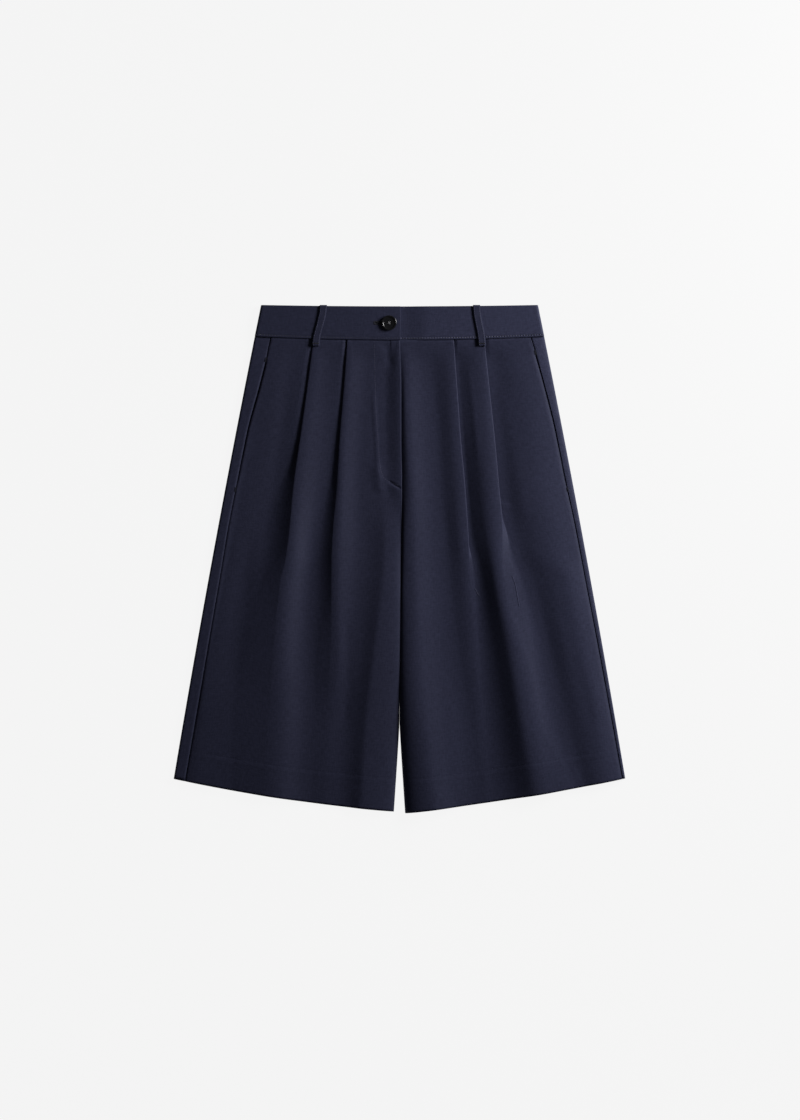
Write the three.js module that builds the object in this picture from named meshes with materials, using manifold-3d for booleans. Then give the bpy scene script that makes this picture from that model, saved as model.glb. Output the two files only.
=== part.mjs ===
// Pleated bermuda shorts in wool suiting, laid flat with the front upwards.
// Sizes are in millimetres. +X is to the viewer's right, +Y runs up to the waist and
// +Z is up. The origin lies on the resting surface, under the middle of the outline.
// Sides are the wearer's: the right leg is on the viewer's left.
import * as THREE from 'three';
import { mergeVertices } from 'three/addons/utils/BufferGeometryUtils.js';
import Module from 'manifold-3d';

const wasm = await Module();
wasm.setup();

// Thicknesses and clearances
const CLOTH = 1.0;         // one layer of suiting, as a wall
const BAND = 1.8;          // the waistband: cloth, interfacing and facing together
const SEAM_GAP = 0.3;      // between two pieces where they are sewn
const HALF_GAP = SEAM_GAP / 2;
const HALF_CLOTH = CLOTH / 2;
const BACK_LEVEL = HALF_CLOTH;                       // middle of the back panels' wall
const FRONT_LEVEL = CLOTH + SEAM_GAP + HALF_CLOTH;   // lowest middle of the front panels' wall
const SIDE_LEVEL = 3.7;                              // middle of the wall at the side seams

// Outline
const WAIST_HALF = 166.3;       // half the waistband's width at its top edge
const WAIST_SIDE_Y = 305.2;     // height of that edge at the sides
const WAIST_SAG = 1.6;          // how much lower it lies in the middle
const BAND_SIDE_Y = 267.6;      // height of the waistband seam at the sides
const BAND_SAG = 4.0;           // how much lower it lies in the middle
const FLARE = 0.2021;           // widening of each side for each millimetre down
const FLARE_EASE = 3.1e-5;      // how that widening eases off
const HEMS = {
  right: { middle: -303.2, rise: 0.0792, curve: 2.5e-4 },
  left: { middle: -305.4, rise: 0.1085, curve: 1.8e-4 },
};
const LEG_LENGTH = 566;         // waistband seam to hem, at the inner leg
const LEG_ROWS = 20;            // steps down a panel
const LEG_GAP = { start: 455, slope: 0.0667 };   // where the legs part, and how fast

// Each front panel is a table of its folds. Every row is one fold line, given at the
// stations in DOWN: u is its distance from the middle of the garment, z its height.
// A pleat rises to its crest with a slope that grows over riseStart of the way and dies
// over riseEnd, rounds down by its lip to the folded edge, turns there with radius bend,
// turns back with radius hollow at its tuck, and runs low to its foot.
const DOWN = [0, 60, 120, 180, 240, 270, 300, 380, 470, LEG_LENGTH];
const CENTRE_X = [0.8, 1.6, 1.8, 3, 1, 0.7, 0.5, 0.3, 0, 0];   // the front seam's sway
const FOLDS = {
  right: {
    edgeLift: [3, 3.4, 3.2, 2.8, 1.2, 2, 3.2, 3.9, 1, 0],
    edgeLap: [0, 0, 0, 0, 0, 0, 0, 0, 0, 0],
    hump: {
      u: [16, 18, 17.5, 16, 15, 16, 18.5, 28, 38, 44],
      z: [2.5, 2.2, 2.3, 2.9, 5.9, 7.2, 8.2, 8, 6.6, 6.5],
    },
    dip: {
      u: [33, 38, 42.5, 45, 45, 46.5, 50, 56, 70, 74],
      z: [2.3, 2.3, 2.3, 2.3, 3.2, 4, 4.6, 4.2, 2.3, 2.2],
    },
    pleats: [
      {
        riseStart: [0.5, 0.5, 0.5, 0.5, 0.5, 0.5, 0.5, 0.5, 0.5, 0.5],
        riseEnd: [0.2, 0.2, 0.2, 0.2, 0.2, 0.2, 0.2, 0.2, 0.2, 0.2],
        crest: {
          u: [59.5, 63.4, 68.4, 71.5, 74, 75, 75, 74.5, 84, 88],
          z: [4.65, 4.8, 5.4, 6.3, 7.3, 7.7, 7.5, 5.6, 2.6, 2.3],
        },
        fold: [61.8, 66.4, 71.4, 75, 80, 81, 81, 82, 88, 92],
        lip: [0.05, 0.2, 0.3, 0.5, 0.8, 0.7, 0.5, 0.3, 0.05, 0.05],
        bend: [0.7, 0.7, 0.7, 0.8, 1.2, 3, 6, 15, 20, 20],
        tuck: [55, 61, 69, 86, 98, 102, 105, 108, 103, 104],
        low: [1.8, 1.8, 1.9, 1.9, 1.9, 1.8, 1.8, 1.8, 1.9, 1.9],
        hollow: [0.7, 0.75, 0.9, 22, 40, 50, 60, 60, 60, 60],
        foot: [67, 72, 78, 88, 99, 103, 106, 109, 104, 105],
      },
      {
        riseStart: [0.45, 0.45, 0.45, 0.45, 0.45, 0.45, 0.45, 0.45, 0.45, 0.45],
        riseEnd: [0.25, 0.25, 0.25, 0.3, 0.35, 0.4, 0.4, 0.4, 0.4, 0.4],
        crest: {
          u: [101.3, 108.8, 117, 125, 130.4, 133.5, 139, 146, 150, 156],
          z: [4.65, 4.9, 6.2, 7.9, 9.6, 9.9, 9.4, 8.6, 7.6, 7],
        },
        fold: [102.6, 110.3, 118.4, 126.6, 132.2, 136, 142.5, 150, 156, 162],
        lip: [0.1, 0.1, 0.1, 0.1, 0.1, 0.1, 0.1, 0.1, 0.1, 0.1],
        bend: [0.7, 0.8, 0.9, 1, 1.2, 1.6, 5, 18, 50, 60],
        tuck: [95, 104, 113, 144, 165, 174, 184, 197, 205, 206],
        low: [1.8, 1.9, 2.2, 2.2, 2, 2, 2.1, 3, 4.2, 4.4],
        hollow: [0.7, 0.75, 0.85, 35, 85, 90, 95, 100, 120, 120],
        foot: [110, 117, 126, 146, 167, 176, 186, 199, 208, 209],
      },
    ],
    side: {
      u: [140, 156, 168, 186, 196, 202, 208, 222, 236, 241],
      z: [3.9, 3.7, 3.3, 3, 2.8, 2.8, 2.9, 3.5, 4.4, 4.5],
    },
    strip: [20, 17, 13, 12.5, 12, 12.5, 13, 13.5, 14, 13.7],
  },
  left: {
    edgeLift: [0, 0, 0, 1.9, 3.4, 3.9, 4.6, 3.9, 1, 0],
    edgeLap: [12, 12, 9, 0, 0, 0, 0, 0, 0, 0],
    hump: {
      u: [8, 8, 8.5, 12, 14.5, 15, 15.5, 17, 25, 38],
      z: [4, 5.2, 6.4, 7.2, 7.8, 8, 8.3, 9.4, 11.2, 11.2],
    },
    dip: {
      u: [31, 39, 43.8, 47.4, 53.4, 55.5, 58.2, 67.8, 84, 94],
      z: [3.2, 2, 1.8, 1.8, 1.8, 1.8, 1.8, 1.8, 1.8, 1.8],
    },
    pleats: [
      {
        riseStart: [0.35, 0.35, 0.35, 0.35, 0.35, 0.35, 0.35, 0.35, 0.35, 0.35],
        riseEnd: [0.35, 0.35, 0.35, 0.35, 0.35, 0.35, 0.35, 0.35, 0.35, 0.35],
        crest: {
          u: [62, 64.4, 68, 72.8, 76, 79, 81.5, 88, 96, 104],
          z: [4.65, 4.8, 4.85, 4.95, 5, 4.5, 4, 3.1, 2.2, 1.84],
        },
        fold: [64, 68.4, 72.6, 78, 82, 83.5, 85.5, 91, 99, 107],
        lip: [0.05, 0.2, 0.2, 0.3, 0.35, 0.3, 0.2, 0.05, 0, 0],
        bend: [0.7, 0.7, 0.7, 0.7, 0.8, 2.5, 4, 10, 14, 14],
        tuck: [54, 59, 66, 73, 81, 88, 91.5, 96, 102, 110],
        low: [1.8, 1.8, 1.8, 1.9, 2.4, 3, 3, 2.7, 2.1, 1.8],
        hollow: [0.7, 0.7, 0.7, 0.7, 1, 3, 5, 12, 16, 16],
        foot: [68, 72, 76, 80.5, 84.5, 90, 93, 97, 103, 111],
      },
      {
        riseStart: [0.08, 0.08, 0.08, 0.1, 0.2, 0.3, 0.4, 0.5, 0.6, 0.6],
        riseEnd: [0.55, 0.55, 0.55, 0.5, 0.4, 0.35, 0.3, 0.25, 0.2, 0.2],
        crest: {
          u: [98.4, 101.4, 105.2, 109, 113.5, 116.5, 120, 136, 150, 168],
          z: [4.7, 5.5, 6.9, 8.2, 9.6, 10.2, 11, 12.2, 12.4, 11.4],
        },
        fold: [100.8, 107, 113.2, 118.4, 123, 122.5, 125, 141, 155, 173],
        lip: [0.1, 0.5, 0.8, 1, 1.1, 0.8, 0.5, 0.3, 0.2, 0.2],
        bend: [0.7, 0.7, 0.75, 0.8, 1.4, 18, 28, 45, 60, 70],
        tuck: [90, 98, 106, 114, 130, 139, 150, 172, 190, 218],
        low: [1.8, 1.9, 2.3, 2.9, 4, 5, 5.2, 5, 5.3, 5.4],
        hollow: [0.7, 0.7, 0.75, 0.8, 2.5, 20, 28, 45, 60, 70],
        foot: [106, 112, 118, 122, 132, 141, 152, 174, 192, 220],
      },
    ],
    side: {
      u: [140, 152, 160, 164, 176, 180, 196, 208, 230, 243],
      z: [4.4, 5.4, 6.6, 7.6, 8.6, 9, 9.2, 9.2, 8.6, 7.6],
    },
    strip: [16.3, 11, 8.1, 7.7, 6.1, 5.9, 5.8, 4.9, 4.1, 3],
  },
};
const ROLL_START = 178;     // below the fly the inner edges begin to roll under
const ROLL_END = 240;
const LAP_RISE = 1.9;       // how far the hidden lap climbs towards the fly edge
const SEAM_ROLL = 2.2;      // at a side seam both edges turn down over this width
const SEAM_DROP = 0.7;      // and by this much
const SEAM_TUCK = 0.2;      // each edge stops this much short, so that its corner is clear
const WRAP = { right: 2.4, left: 10 };   // how wide the cloth curves round the side

// Steps across a front panel between one fold line and the next
const LAP_STEPS = 3;
const ROLL_STEPS = 6;
const SLOPE_STEPS = 4;
const RISE_STEPS = 5;
const BEND_STEPS = 4;

// Waistband
const BAND_FRONT = 5.1;         // middle of its front wall
const BAND_BACK = BAND / 2;     // middle of its back wall
const UNDERLAP_LEVEL = 3.0;     // middle of the stretch under the buttonhole end
const UNDERLAP = 30;            // how far that stretch runs past the middle
const UNDERLAP_RISE = 34;       // where it has come up to the front wall's level
const OVERLAP_X = 0.8;          // where the buttonhole end stops
const BAND_ROWS = 2;

// Belt loops, the button and its hole
const LOOP_WIDTH = 9;
const LOOP_BEND = 0.7;
const LOOP_TOP_BEND = 1.2;
const LOOP_BELOW_SEAM = 11.5;   // how far a loop hangs below the waistband
const LOOP_TURN = 8;            // the end that is folded back under it
const LOOP_LEVEL = 7.4;         // middle of its outer layer
const LOOPS = {
  right: { top: 91.4, bottom: 100.4 },   // distance from the middle at its two ends
  left: { top: 92.4, bottom: 99.0 },
};
const BUTTON = { x: -12.5, y: 283.8, radius: 9, thickness: 3.2, rim: 1.7, dish: 1.1 };
const HOLE = { radius: 0.9, spacing: 3.0 };
const BUTTONHOLE = { start: -29.6, end: -9.5, width: 0.7 };

const smooth = (t) => t * t * (3 - 2 * t);
const mix = (a, b, t) => a + (b - a) * t;
const ramp = (a, b, v) => smooth(Math.min(1, Math.max(0, (v - a) / (b - a))));

// Smooth curve through the values at the stations, with no overshoot
function along(values, down) {
  const last = DOWN.length - 1;
  const slopes = DOWN.slice(1).map((d, i) => (values[i + 1] - values[i]) / (d - DOWN[i]));
  const tangent = (i) => {
    if (i === 0) return slopes[0];
    if (i === last) return slopes[last - 1];
    const [a, b] = [slopes[i - 1], slopes[i]];
    return a * b <= 0 ? 0 : (2 * a * b) / (a + b);
  };
  let i = 0;
  while (i < last - 1 && down > DOWN[i + 1]) i += 1;
  const step = DOWN[i + 1] - DOWN[i];
  const t = Math.min(1, Math.max(0, (down - DOWN[i]) / step));
  const [t2, t3] = [t * t, t * t * t];
  return values[i] * (2 * t3 - 3 * t2 + 1) + tangent(i) * step * (t3 - 2 * t2 + t)
    + values[i + 1] * (3 * t2 - 2 * t3) + tangent(i + 1) * step * (t3 - t2);
}

const halfWidth = (y) => {
  const d = WAIST_SIDE_Y - y;
  return WAIST_HALF + FLARE * d - FLARE_EASE * d * d;
};
const parabola = (sideY, sag, u) => sideY - sag * (1 - (u / WAIST_HALF) ** 2);
const bandTop = (u) => parabola(WAIST_SIDE_Y, WAIST_SAG, u);
const bandSeam = (u) => parabola(BAND_SIDE_Y, BAND_SAG, u);
const hemY = (side, u) => HEMS[side].middle + HEMS[side].rise * u + HEMS[side].curve * u * u;

// Height on the garment of a point at distance u, a given way down its leg
function legY(side, u, down) {
  return mix(bandSeam(u) - SEAM_GAP, hemY(side, Math.max(0, u)), down / LEG_LENGTH);
}

const legGap = (down) => {
  const past = Math.max(0, down - LEG_GAP.start);
  return LEG_GAP.slope * past * past / (past + 12);
};

// The inner edge of a front panel: the front seam, the fly and the inseam in one line
function innerEdge(side, down) {
  const sway = along(CENTRE_X, down) * (side === 'right' ? -1 : 1);
  return sway + HALF_GAP + HALF_CLOTH + legGap(down);
}

function outerEdge(side, down) {
  const y = legY(side, 220, down);
  let u = halfWidth(y);
  for (let i = 0; i < 4; i += 1) u = halfWidth(legY(side, u, down));
  return u;
}

// Round the folded edge and back to the low point, from the slope at the edge. The low
// point may lie back under the edge, which makes a folded pleat.
function pleatBend(fold, slope, low, bend, hollow) {
  const run = low.u - fold.u;
  const drop = fold.z - low.z;
  const overU = bend * Math.sin(slope);
  const overZ = bend * Math.cos(slope) + hollow;
  const gap = Math.max(0, (bend + hollow) ** 2 - overU ** 2 - overZ ** 2);
  const half = Math.max(run, 0) * overU - drop * overZ;
  const reach = Math.max(run, 0) ** 2 + drop ** 2;
  const most = 0.995 * reach / Math.max(1e-9, Math.sqrt(half ** 2 + gap * reach) - half);
  const total = (bend + hollow) * Math.min(1, most);
  const r = Math.min(bend, total / 2);
  const q = Math.min(hollow, total - r);
  const over = { u: fold.u - r * Math.sin(slope), z: fold.z - r * Math.cos(slope) };
  const du = low.u - over.u;
  const dz = low.z + q - over.z;
  const turn = Math.asin(Math.min(1, (r + q) / Math.hypot(du, dz))) - Math.atan2(dz, du);
  const points = [];
  for (let i = 0; i <= BEND_STEPS; i += 1) {
    const a = mix(slope, turn, i / BEND_STEPS);
    points.push({ u: over.u + r * Math.sin(a), z: over.z + r * Math.cos(a) });
  }
  for (let i = 0; i <= BEND_STEPS; i += 1) {
    const a = turn * (1 - i / BEND_STEPS);
    points.push({ u: low.u - q * Math.sin(a), z: low.z + q - q * Math.cos(a) });
  }
  return points;
}

// Share of a rise whose slope grows over its first part and dies over its last part
function eased(t, first, last) {
  const top = 1 / (1 - (first + last) / 2);
  if (t < first) return top * t * t / (2 * first);
  if (t > 1 - last) return 1 - top * (1 - t) ** 2 / (2 * last);
  return top * (t - first / 2);
}

// The middle line of a front panel at one height, from its inner to its outer edge
function frontSection(side, down) {
  const folds = FOLDS[side];
  const at = (line) => ({ u: along(line.u, down), z: along(line.z, down) });
  const line = [];
  const easeTo = (target, steps, first, last) => {
    const from = line[line.length - 1];
    for (let i = 1; i <= steps; i += 1) {
      const t = i / steps;
      line.push({ u: mix(from.u, target.u, t), z: mix(from.z, target.z, eased(t, first, last)) });
    }
  };

  const roll = ramp(ROLL_START, ROLL_END, down);
  const lap = along(folds.edgeLap, down);
  const edge = {
    u: innerEdge(side, down) - lap,
    z: mix(FRONT_LEVEL, CLOTH + SEAM_GAP, roll) + along(folds.edgeLift, down),
  };
  const hump = at(folds.hump);
  const hidden = lap / (hump.u - edge.u);
  const steps = [];
  const lapSteps = side === 'left' ? LAP_STEPS : 0;
  const split = lapSteps ? Math.max(hidden, 0.12) : 0;
  for (let i = 0; i < lapSteps; i += 1) steps.push(split * i / lapSteps);
  for (let i = 0; i <= ROLL_STEPS; i += 1) steps.push(mix(split, 1, i / ROLL_STEPS));
  for (const [i, t] of steps.entries()) {
    const shown = Math.max(0, t - hidden) / (1 - hidden);
    const lapRise = LAP_RISE * ramp(0, hidden + 1e-6, t) * Math.min(1, lap / 9);
    const underFly = edge.z + lapRise + (hump.z - edge.z - lapRise) * (1 - (1 - shown) ** 2);
    const flat = side === 'left' ? underFly : mix(edge.z, hump.z, smooth(t));
    const turned = side === 'left' ? i / (steps.length - 1) : t;
    const a = turned * Math.PI / 2;
    const across = mix(t, 1 - Math.cos(a), roll);
    const up = mix(flat, mix(edge.z, hump.z, Math.sin(a)), roll);
    line.push({ u: mix(edge.u, hump.u, across), z: up });
  }
  easeTo(at(folds.dip), SLOPE_STEPS, 0.2, 0.6);
  for (const pleat of folds.pleats) {
    const crest = at(pleat.crest);
    const low = { u: along(pleat.tuck, down), z: along(pleat.low, down) };
    const fold = along(pleat.fold, down);
    let lip = along(pleat.lip, down);
    easeTo(crest, RISE_STEPS, along(pleat.riseStart, down), along(pleat.riseEnd, down));
    let slope = Math.atan2(2 * lip, fold - crest.u);
    if (low.u > fold) {
      const most = 0.75 * (crest.z - low.z) / (low.u - fold + 0.375 * (fold - crest.u));
      slope = Math.min(slope, Math.atan(Math.max(0, most)));
      lip = Math.tan(slope) * (fold - crest.u) / 2;
    }
    line.push({ u: mix(crest.u, fold, 0.5), z: crest.z - lip / 4 });
    const edgeOfFold = { u: fold, z: crest.z - lip };
    const [bend, hollow] = [along(pleat.bend, down), along(pleat.hollow, down)];
    line.push(...pleatBend(edgeOfFold, slope, low, bend, hollow));
    easeTo({ u: along(pleat.foot, down), z: low.z - 0.01 }, 1, 0.3, 0.3);
  }
  const sideKnot = at(folds.side);
  easeTo(sideKnot, SLOPE_STEPS, 0.3, 0.5);
  const seam = outerEdge(side, down) - along(folds.strip, down) - HALF_GAP - SEAM_TUCK;
  const toSeam = [0.33, 0.67, 1].map((t) => mix(sideKnot.u, seam - SEAM_ROLL, t));
  for (const u of [...toSeam, seam - SEAM_ROLL * 0.4, seam]) {
    const t = (u - sideKnot.u) / (seam - sideKnot.u);
    const into = Math.max(0, (u - seam) / SEAM_ROLL + 1);
    const z = mix(sideKnot.z, SIDE_LEVEL, 1 - Math.cos(t * Math.PI / 2));
    line.push({ u, z: z - SEAM_DROP * into ** 2 });
  }
  return line;
}

// The middle line of a back panel: flat on the surface, round the side, up to the side seam
const FLAT_STEPS = 6;
const SIDE_STEPS = 6;
function backSection(side, down) {
  const inner = HALF_GAP + legGap(down);
  const radius = (SIDE_LEVEL - BACK_LEVEL) / 2;
  const strip = along(FOLDS[side].strip, down);
  const reach = Math.max(1.5, Math.min(WRAP[side], strip - 2.4));
  const outer = outerEdge(side, down) - reach - HALF_CLOTH;
  const seam = Math.min(outerEdge(side, down) - strip + HALF_GAP + SEAM_TUCK, outer - 0.4);
  const line = [];
  for (let i = 0; i < FLAT_STEPS; i += 1) {
    line.push({ u: mix(inner, outer, i / FLAT_STEPS), z: BACK_LEVEL });
  }
  for (let i = 0; i <= SIDE_STEPS; i += 1) {
    const a = Math.PI * i / SIDE_STEPS;
    line.push({ u: outer + reach * Math.sin(a), z: BACK_LEVEL + radius - radius * Math.cos(a) });
  }
  const roll = Math.min(SEAM_ROLL, Math.max(0.2, 0.8 * (outer - seam - 1)));
  line.push({ u: seam + roll, z: SIDE_LEVEL });
  line.push({ u: seam, z: SIDE_LEVEL - SEAM_DROP * roll / SEAM_ROLL });
  return line;
}

// The two faces of a wall, half its thickness to each side of its middle line
function faces(line, thickness) {
  const shifted = (sign) => line.map((p, i) => {
    const a = line[Math.max(0, i - 1)];
    const b = line[Math.min(line.length - 1, i + 1)];
    const length = Math.hypot(b.u - a.u, b.z - a.z);
    const reach = sign * thickness / 2 / length;
    return { u: p.u - (b.z - a.z) * reach, z: p.z + (b.u - a.u) * reach };
  });
  return [shifted(1), shifted(-1)];
}

// A closed wall from rows of points on its upper and its lower face
function wall(upper, lower) {
  const rows = upper.length;
  const columns = upper[0].length;
  const positions = [...upper.flat(), ...lower.flat()].flatMap((p) => [p.x, p.y, p.z]);
  const index = [];
  const top = (i, j) => i * columns + j;
  const under = (i, j) => rows * columns + i * columns + j;
  const quad = (a, b, c, d) => index.push(a, b, c, a, c, d);
  for (let i = 0; i < rows - 1; i += 1) {
    for (let j = 0; j < columns - 1; j += 1) {
      quad(top(i, j), top(i + 1, j), top(i + 1, j + 1), top(i, j + 1));
      quad(under(i, j), under(i, j + 1), under(i + 1, j + 1), under(i + 1, j));
    }
    const end = columns - 1;
    quad(top(i, 0), under(i, 0), under(i + 1, 0), top(i + 1, 0));
    quad(top(i, end), top(i + 1, end), under(i + 1, end), under(i, end));
  }
  for (let j = 0; j < columns - 1; j += 1) {
    const end = rows - 1;
    quad(top(0, j), top(0, j + 1), under(0, j + 1), under(0, j));
    quad(top(end, j), under(end, j), under(end, j + 1), top(end, j + 1));
  }
  if (volume(positions, index) < 0) index.reverse();
  const geometry = new THREE.BufferGeometry();
  geometry.setAttribute('position', new THREE.Float32BufferAttribute(positions, 3));
  geometry.setIndex(index);
  return geometry;
}

function volume(positions, index) {
  const corner = (k) => new THREE.Vector3().fromArray(positions, 3 * index[k]);
  let sum = 0;
  for (let k = 0; k < index.length; k += 3) {
    sum += corner(k).dot(corner(k + 1).cross(corner(k + 2))) / 6;
  }
  return sum;
}

const signOf = (side) => (side === 'right' ? -1 : 1);

function panel(side, section, lowest) {
  const upper = [];
  const lower = [];
  for (let row = 0; row <= LEG_ROWS; row += 1) {
    const down = LEG_LENGTH * row / LEG_ROWS;
    const place = (p) => (
      { x: signOf(side) * p.u, y: legY(side, p.u, down), z: Math.max(p.z, lowest) }
    );
    const [above, below] = faces(section(side, down), CLOTH);
    upper.push(above.map(place));
    lower.push(below.map(place));
  }
  return wall(upper, lower);
}

// The waistband's middle line, from its front end round the side to the middle of the back
function bandSection(side, share) {
  const bend = (BAND_FRONT - BAND_BACK) / 2;
  const sideY = mix(BAND_SIDE_Y, WAIST_SIDE_Y, share);
  const outer = halfWidth(sideY) - bend - BAND / 2;
  const line = [];
  const run = (from, to, steps, level) => {
    for (let i = 0; i < steps; i += 1) {
      const u = mix(from, to, i / steps);
      line.push({ u, z: level(u) });
    }
  };
  if (side === 'left') {
    run(-UNDERLAP, OVERLAP_X + 2, 2, () => UNDERLAP_LEVEL);
    const rise = (u) => mix(UNDERLAP_LEVEL, BAND_FRONT, ramp(OVERLAP_X + 2, UNDERLAP_RISE, u));
    run(OVERLAP_X + 2, UNDERLAP_RISE, 4, rise);
    run(UNDERLAP_RISE, outer, 5, () => BAND_FRONT);
  } else {
    run(-OVERLAP_X, outer, 6, () => BAND_FRONT);
  }
  for (let i = 0; i < SIDE_STEPS; i += 1) {
    const a = Math.PI * i / SIDE_STEPS;
    line.push({ u: outer + bend * Math.sin(a), z: BAND_FRONT - bend + bend * Math.cos(a) });
  }
  run(outer, HALF_GAP, 6, () => BAND_BACK);
  line.push({ u: HALF_GAP, z: BAND_BACK });
  return line;
}

function waistband(side) {
  const upper = [];
  const lower = [];
  for (let row = 0; row <= BAND_ROWS; row += 1) {
    const share = row / BAND_ROWS;
    const place = (p) => ({
      x: signOf(side) * p.u,
      y: mix(bandSeam(p.u), bandTop(p.u), share),
      z: p.z,
    });
    const [above, below] = faces(bandSection(side, share), BAND);
    upper.push(above.map(place));
    lower.push(below.map(place));
  }
  return wall(upper, lower);
}

// A belt loop: over the waistband's top edge, down its front, and folded under at its foot
function beltLoop(side) {
  const { top, bottom } = LOOPS[side];
  const topY = bandTop(top) + SEAM_GAP + HALF_CLOTH;
  const footY = bandSeam(bottom) - LOOP_BELOW_SEAM + HALF_CLOTH;
  const line = [{ u: topY, z: BAND_FRONT }];
  for (let i = 0; i <= BEND_STEPS; i += 1) {
    const a = Math.PI / 2 * i / BEND_STEPS;
    line.push({
      u: topY - LOOP_TOP_BEND + LOOP_TOP_BEND * Math.cos(a),
      z: LOOP_LEVEL - LOOP_TOP_BEND + LOOP_TOP_BEND * Math.sin(a),
    });
  }
  const start = topY - LOOP_TOP_BEND;
  const end = footY + LOOP_BEND;
  for (let i = 1; i < 5; i += 1) line.push({ u: mix(start, end, i / 5), z: LOOP_LEVEL });
  for (let i = 0; i <= BEND_STEPS; i += 1) {
    const a = Math.PI * i / BEND_STEPS;
    line.push({
      u: end - LOOP_BEND * Math.sin(a),
      z: LOOP_LEVEL - LOOP_BEND + LOOP_BEND * Math.cos(a),
    });
  }
  line.push({ u: end + LOOP_TURN, z: LOOP_LEVEL - 2 * LOOP_BEND });
  const [above, below] = faces(line, CLOTH);
  const centre = (y) => mix(top, bottom, smooth(Math.min(1, Math.max(0, (topY - y) / (topY - footY)))));
  const edge = (points, offset) => points.map((p) => (
    { x: signOf(side) * (centre(p.u) + offset), y: p.u, z: p.z }
  ));
  const half = LOOP_WIDTH / 2;
  return wall([edge(above, -half), edge(above, half)], [edge(below, -half), edge(below, half)]);
}

function toSolid(geometry) {
  const bare = geometry.clone();
  bare.deleteAttribute('normal');
  bare.deleteAttribute('uv');
  const merged = mergeVertices(bare.index ? bare : bare.toNonIndexed(), 1e-4);
  return new wasm.Manifold(new wasm.Mesh({
    numProp: 3,
    vertProperties: new Float32Array(merged.attributes.position.array),
    triVerts: new Uint32Array(merged.index.array),
  }));
}

function fromSolid(solid) {
  const mesh = solid.getMesh();
  const geometry = new THREE.BufferGeometry();
  geometry.setAttribute('position', new THREE.Float32BufferAttribute(mesh.vertProperties, 3));
  geometry.setIndex([...mesh.triVerts]);
  return geometry;
}

// A round four-hole button with a raised rim and a dished middle
function button() {
  const { radius, thickness, rim, dish } = BUTTON;
  const profile = [
    [0, 0], [radius * 0.72, 0], [radius * 0.94, 0.7], [radius, thickness * 0.55],
    [radius - 0.5, thickness - 0.25], [radius - rim * 0.55, thickness],
    [radius - rim, thickness - 0.3], [radius - rim - 0.7, thickness - dish], [0, thickness - dish],
  ].map(([r, z]) => new THREE.Vector2(r, z));
  const disc = new THREE.LatheGeometry(profile, 32);
  disc.rotateX(Math.PI / 2);
  let solid = toSolid(disc);
  for (const sx of [-1, 1]) {
    for (const sy of [-1, 1]) {
      const bore = new THREE.CylinderGeometry(HOLE.radius, HOLE.radius, 4 * thickness, 10);
      bore.rotateX(Math.PI / 2);
      bore.translate(sx * HOLE.spacing / 2, sy * HOLE.spacing / 2, 0);
      solid = solid.subtract(toSolid(bore));
    }
  }
  return fromSolid(solid);
}

function buttonholeEnd() {
  const { start, end, width } = BUTTONHOLE;
  const slit = new THREE.BoxGeometry(end - start, width, BAND * 2);
  slit.translate((start + end) / 2, BUTTON.y, BAND_FRONT);
  return fromSolid(toSolid(waistband('right')).subtract(toSolid(slit)));
}

const suiting = () => new THREE.MeshStandardMaterial({ color: '#2a2d40', roughness: 0.85, metalness: 0 });
const horn = () => new THREE.MeshStandardMaterial({ color: '#0d0d10', roughness: 0.3, metalness: 0 });

function named(name, geometry, material) {
  const mesh = new THREE.Mesh(geometry, material);
  mesh.name = name;
  return mesh;
}

const shorts = new THREE.Group();
for (const side of ['right', 'left']) {
  shorts.add(named(`front_${side}`, panel(side, frontSection, CLOTH + SEAM_GAP), suiting()));
  shorts.add(named(`back_${side}`, panel(side, backSection, 0), suiting()));
  shorts.add(named(`belt_loop_${side}`, beltLoop(side), suiting()));
}
shorts.add(named('waistband_right', buttonholeEnd(), suiting()));
shorts.add(named('waistband_left', waistband('left'), suiting()));
const waistButton = named('waist_button', button(), horn());
waistButton.position.set(BUTTON.x, BUTTON.y, BAND_FRONT + BAND / 2 + SEAM_GAP);
shorts.add(waistButton);

export default shorts;
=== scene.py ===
# %% [markdown]
# # Pleated bermuda shorts, laid flat
# The shorts lie front up on a pale surface and are seen from straight above. Each cut
# piece of cloth becomes its own thin shell with real thickness: two fronts with two
# pleats each, two backs that wrap round the sides, two halves of the waistband and two
# belt loops. The button, the stitches and the buttonhole are small pieces of their own.

# %% Load the imported frame and bake its placement into the solids
import bpy
import math
import numpy as np
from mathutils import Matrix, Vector
from mathutils.bvhtree import BVHTree


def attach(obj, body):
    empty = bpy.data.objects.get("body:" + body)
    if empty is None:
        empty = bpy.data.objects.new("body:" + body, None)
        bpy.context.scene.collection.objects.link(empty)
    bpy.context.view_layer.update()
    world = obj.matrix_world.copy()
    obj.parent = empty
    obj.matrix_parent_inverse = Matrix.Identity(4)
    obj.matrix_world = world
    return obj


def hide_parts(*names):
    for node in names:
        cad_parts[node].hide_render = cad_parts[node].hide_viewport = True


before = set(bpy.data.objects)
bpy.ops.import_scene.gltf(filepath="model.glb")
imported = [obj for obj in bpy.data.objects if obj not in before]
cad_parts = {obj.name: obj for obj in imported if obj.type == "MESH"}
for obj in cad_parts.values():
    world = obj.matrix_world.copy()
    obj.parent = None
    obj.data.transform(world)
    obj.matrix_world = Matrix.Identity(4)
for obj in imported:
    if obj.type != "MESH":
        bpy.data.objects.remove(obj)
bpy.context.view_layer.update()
MM = 0.001
SIDES = ("right", "left")

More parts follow.
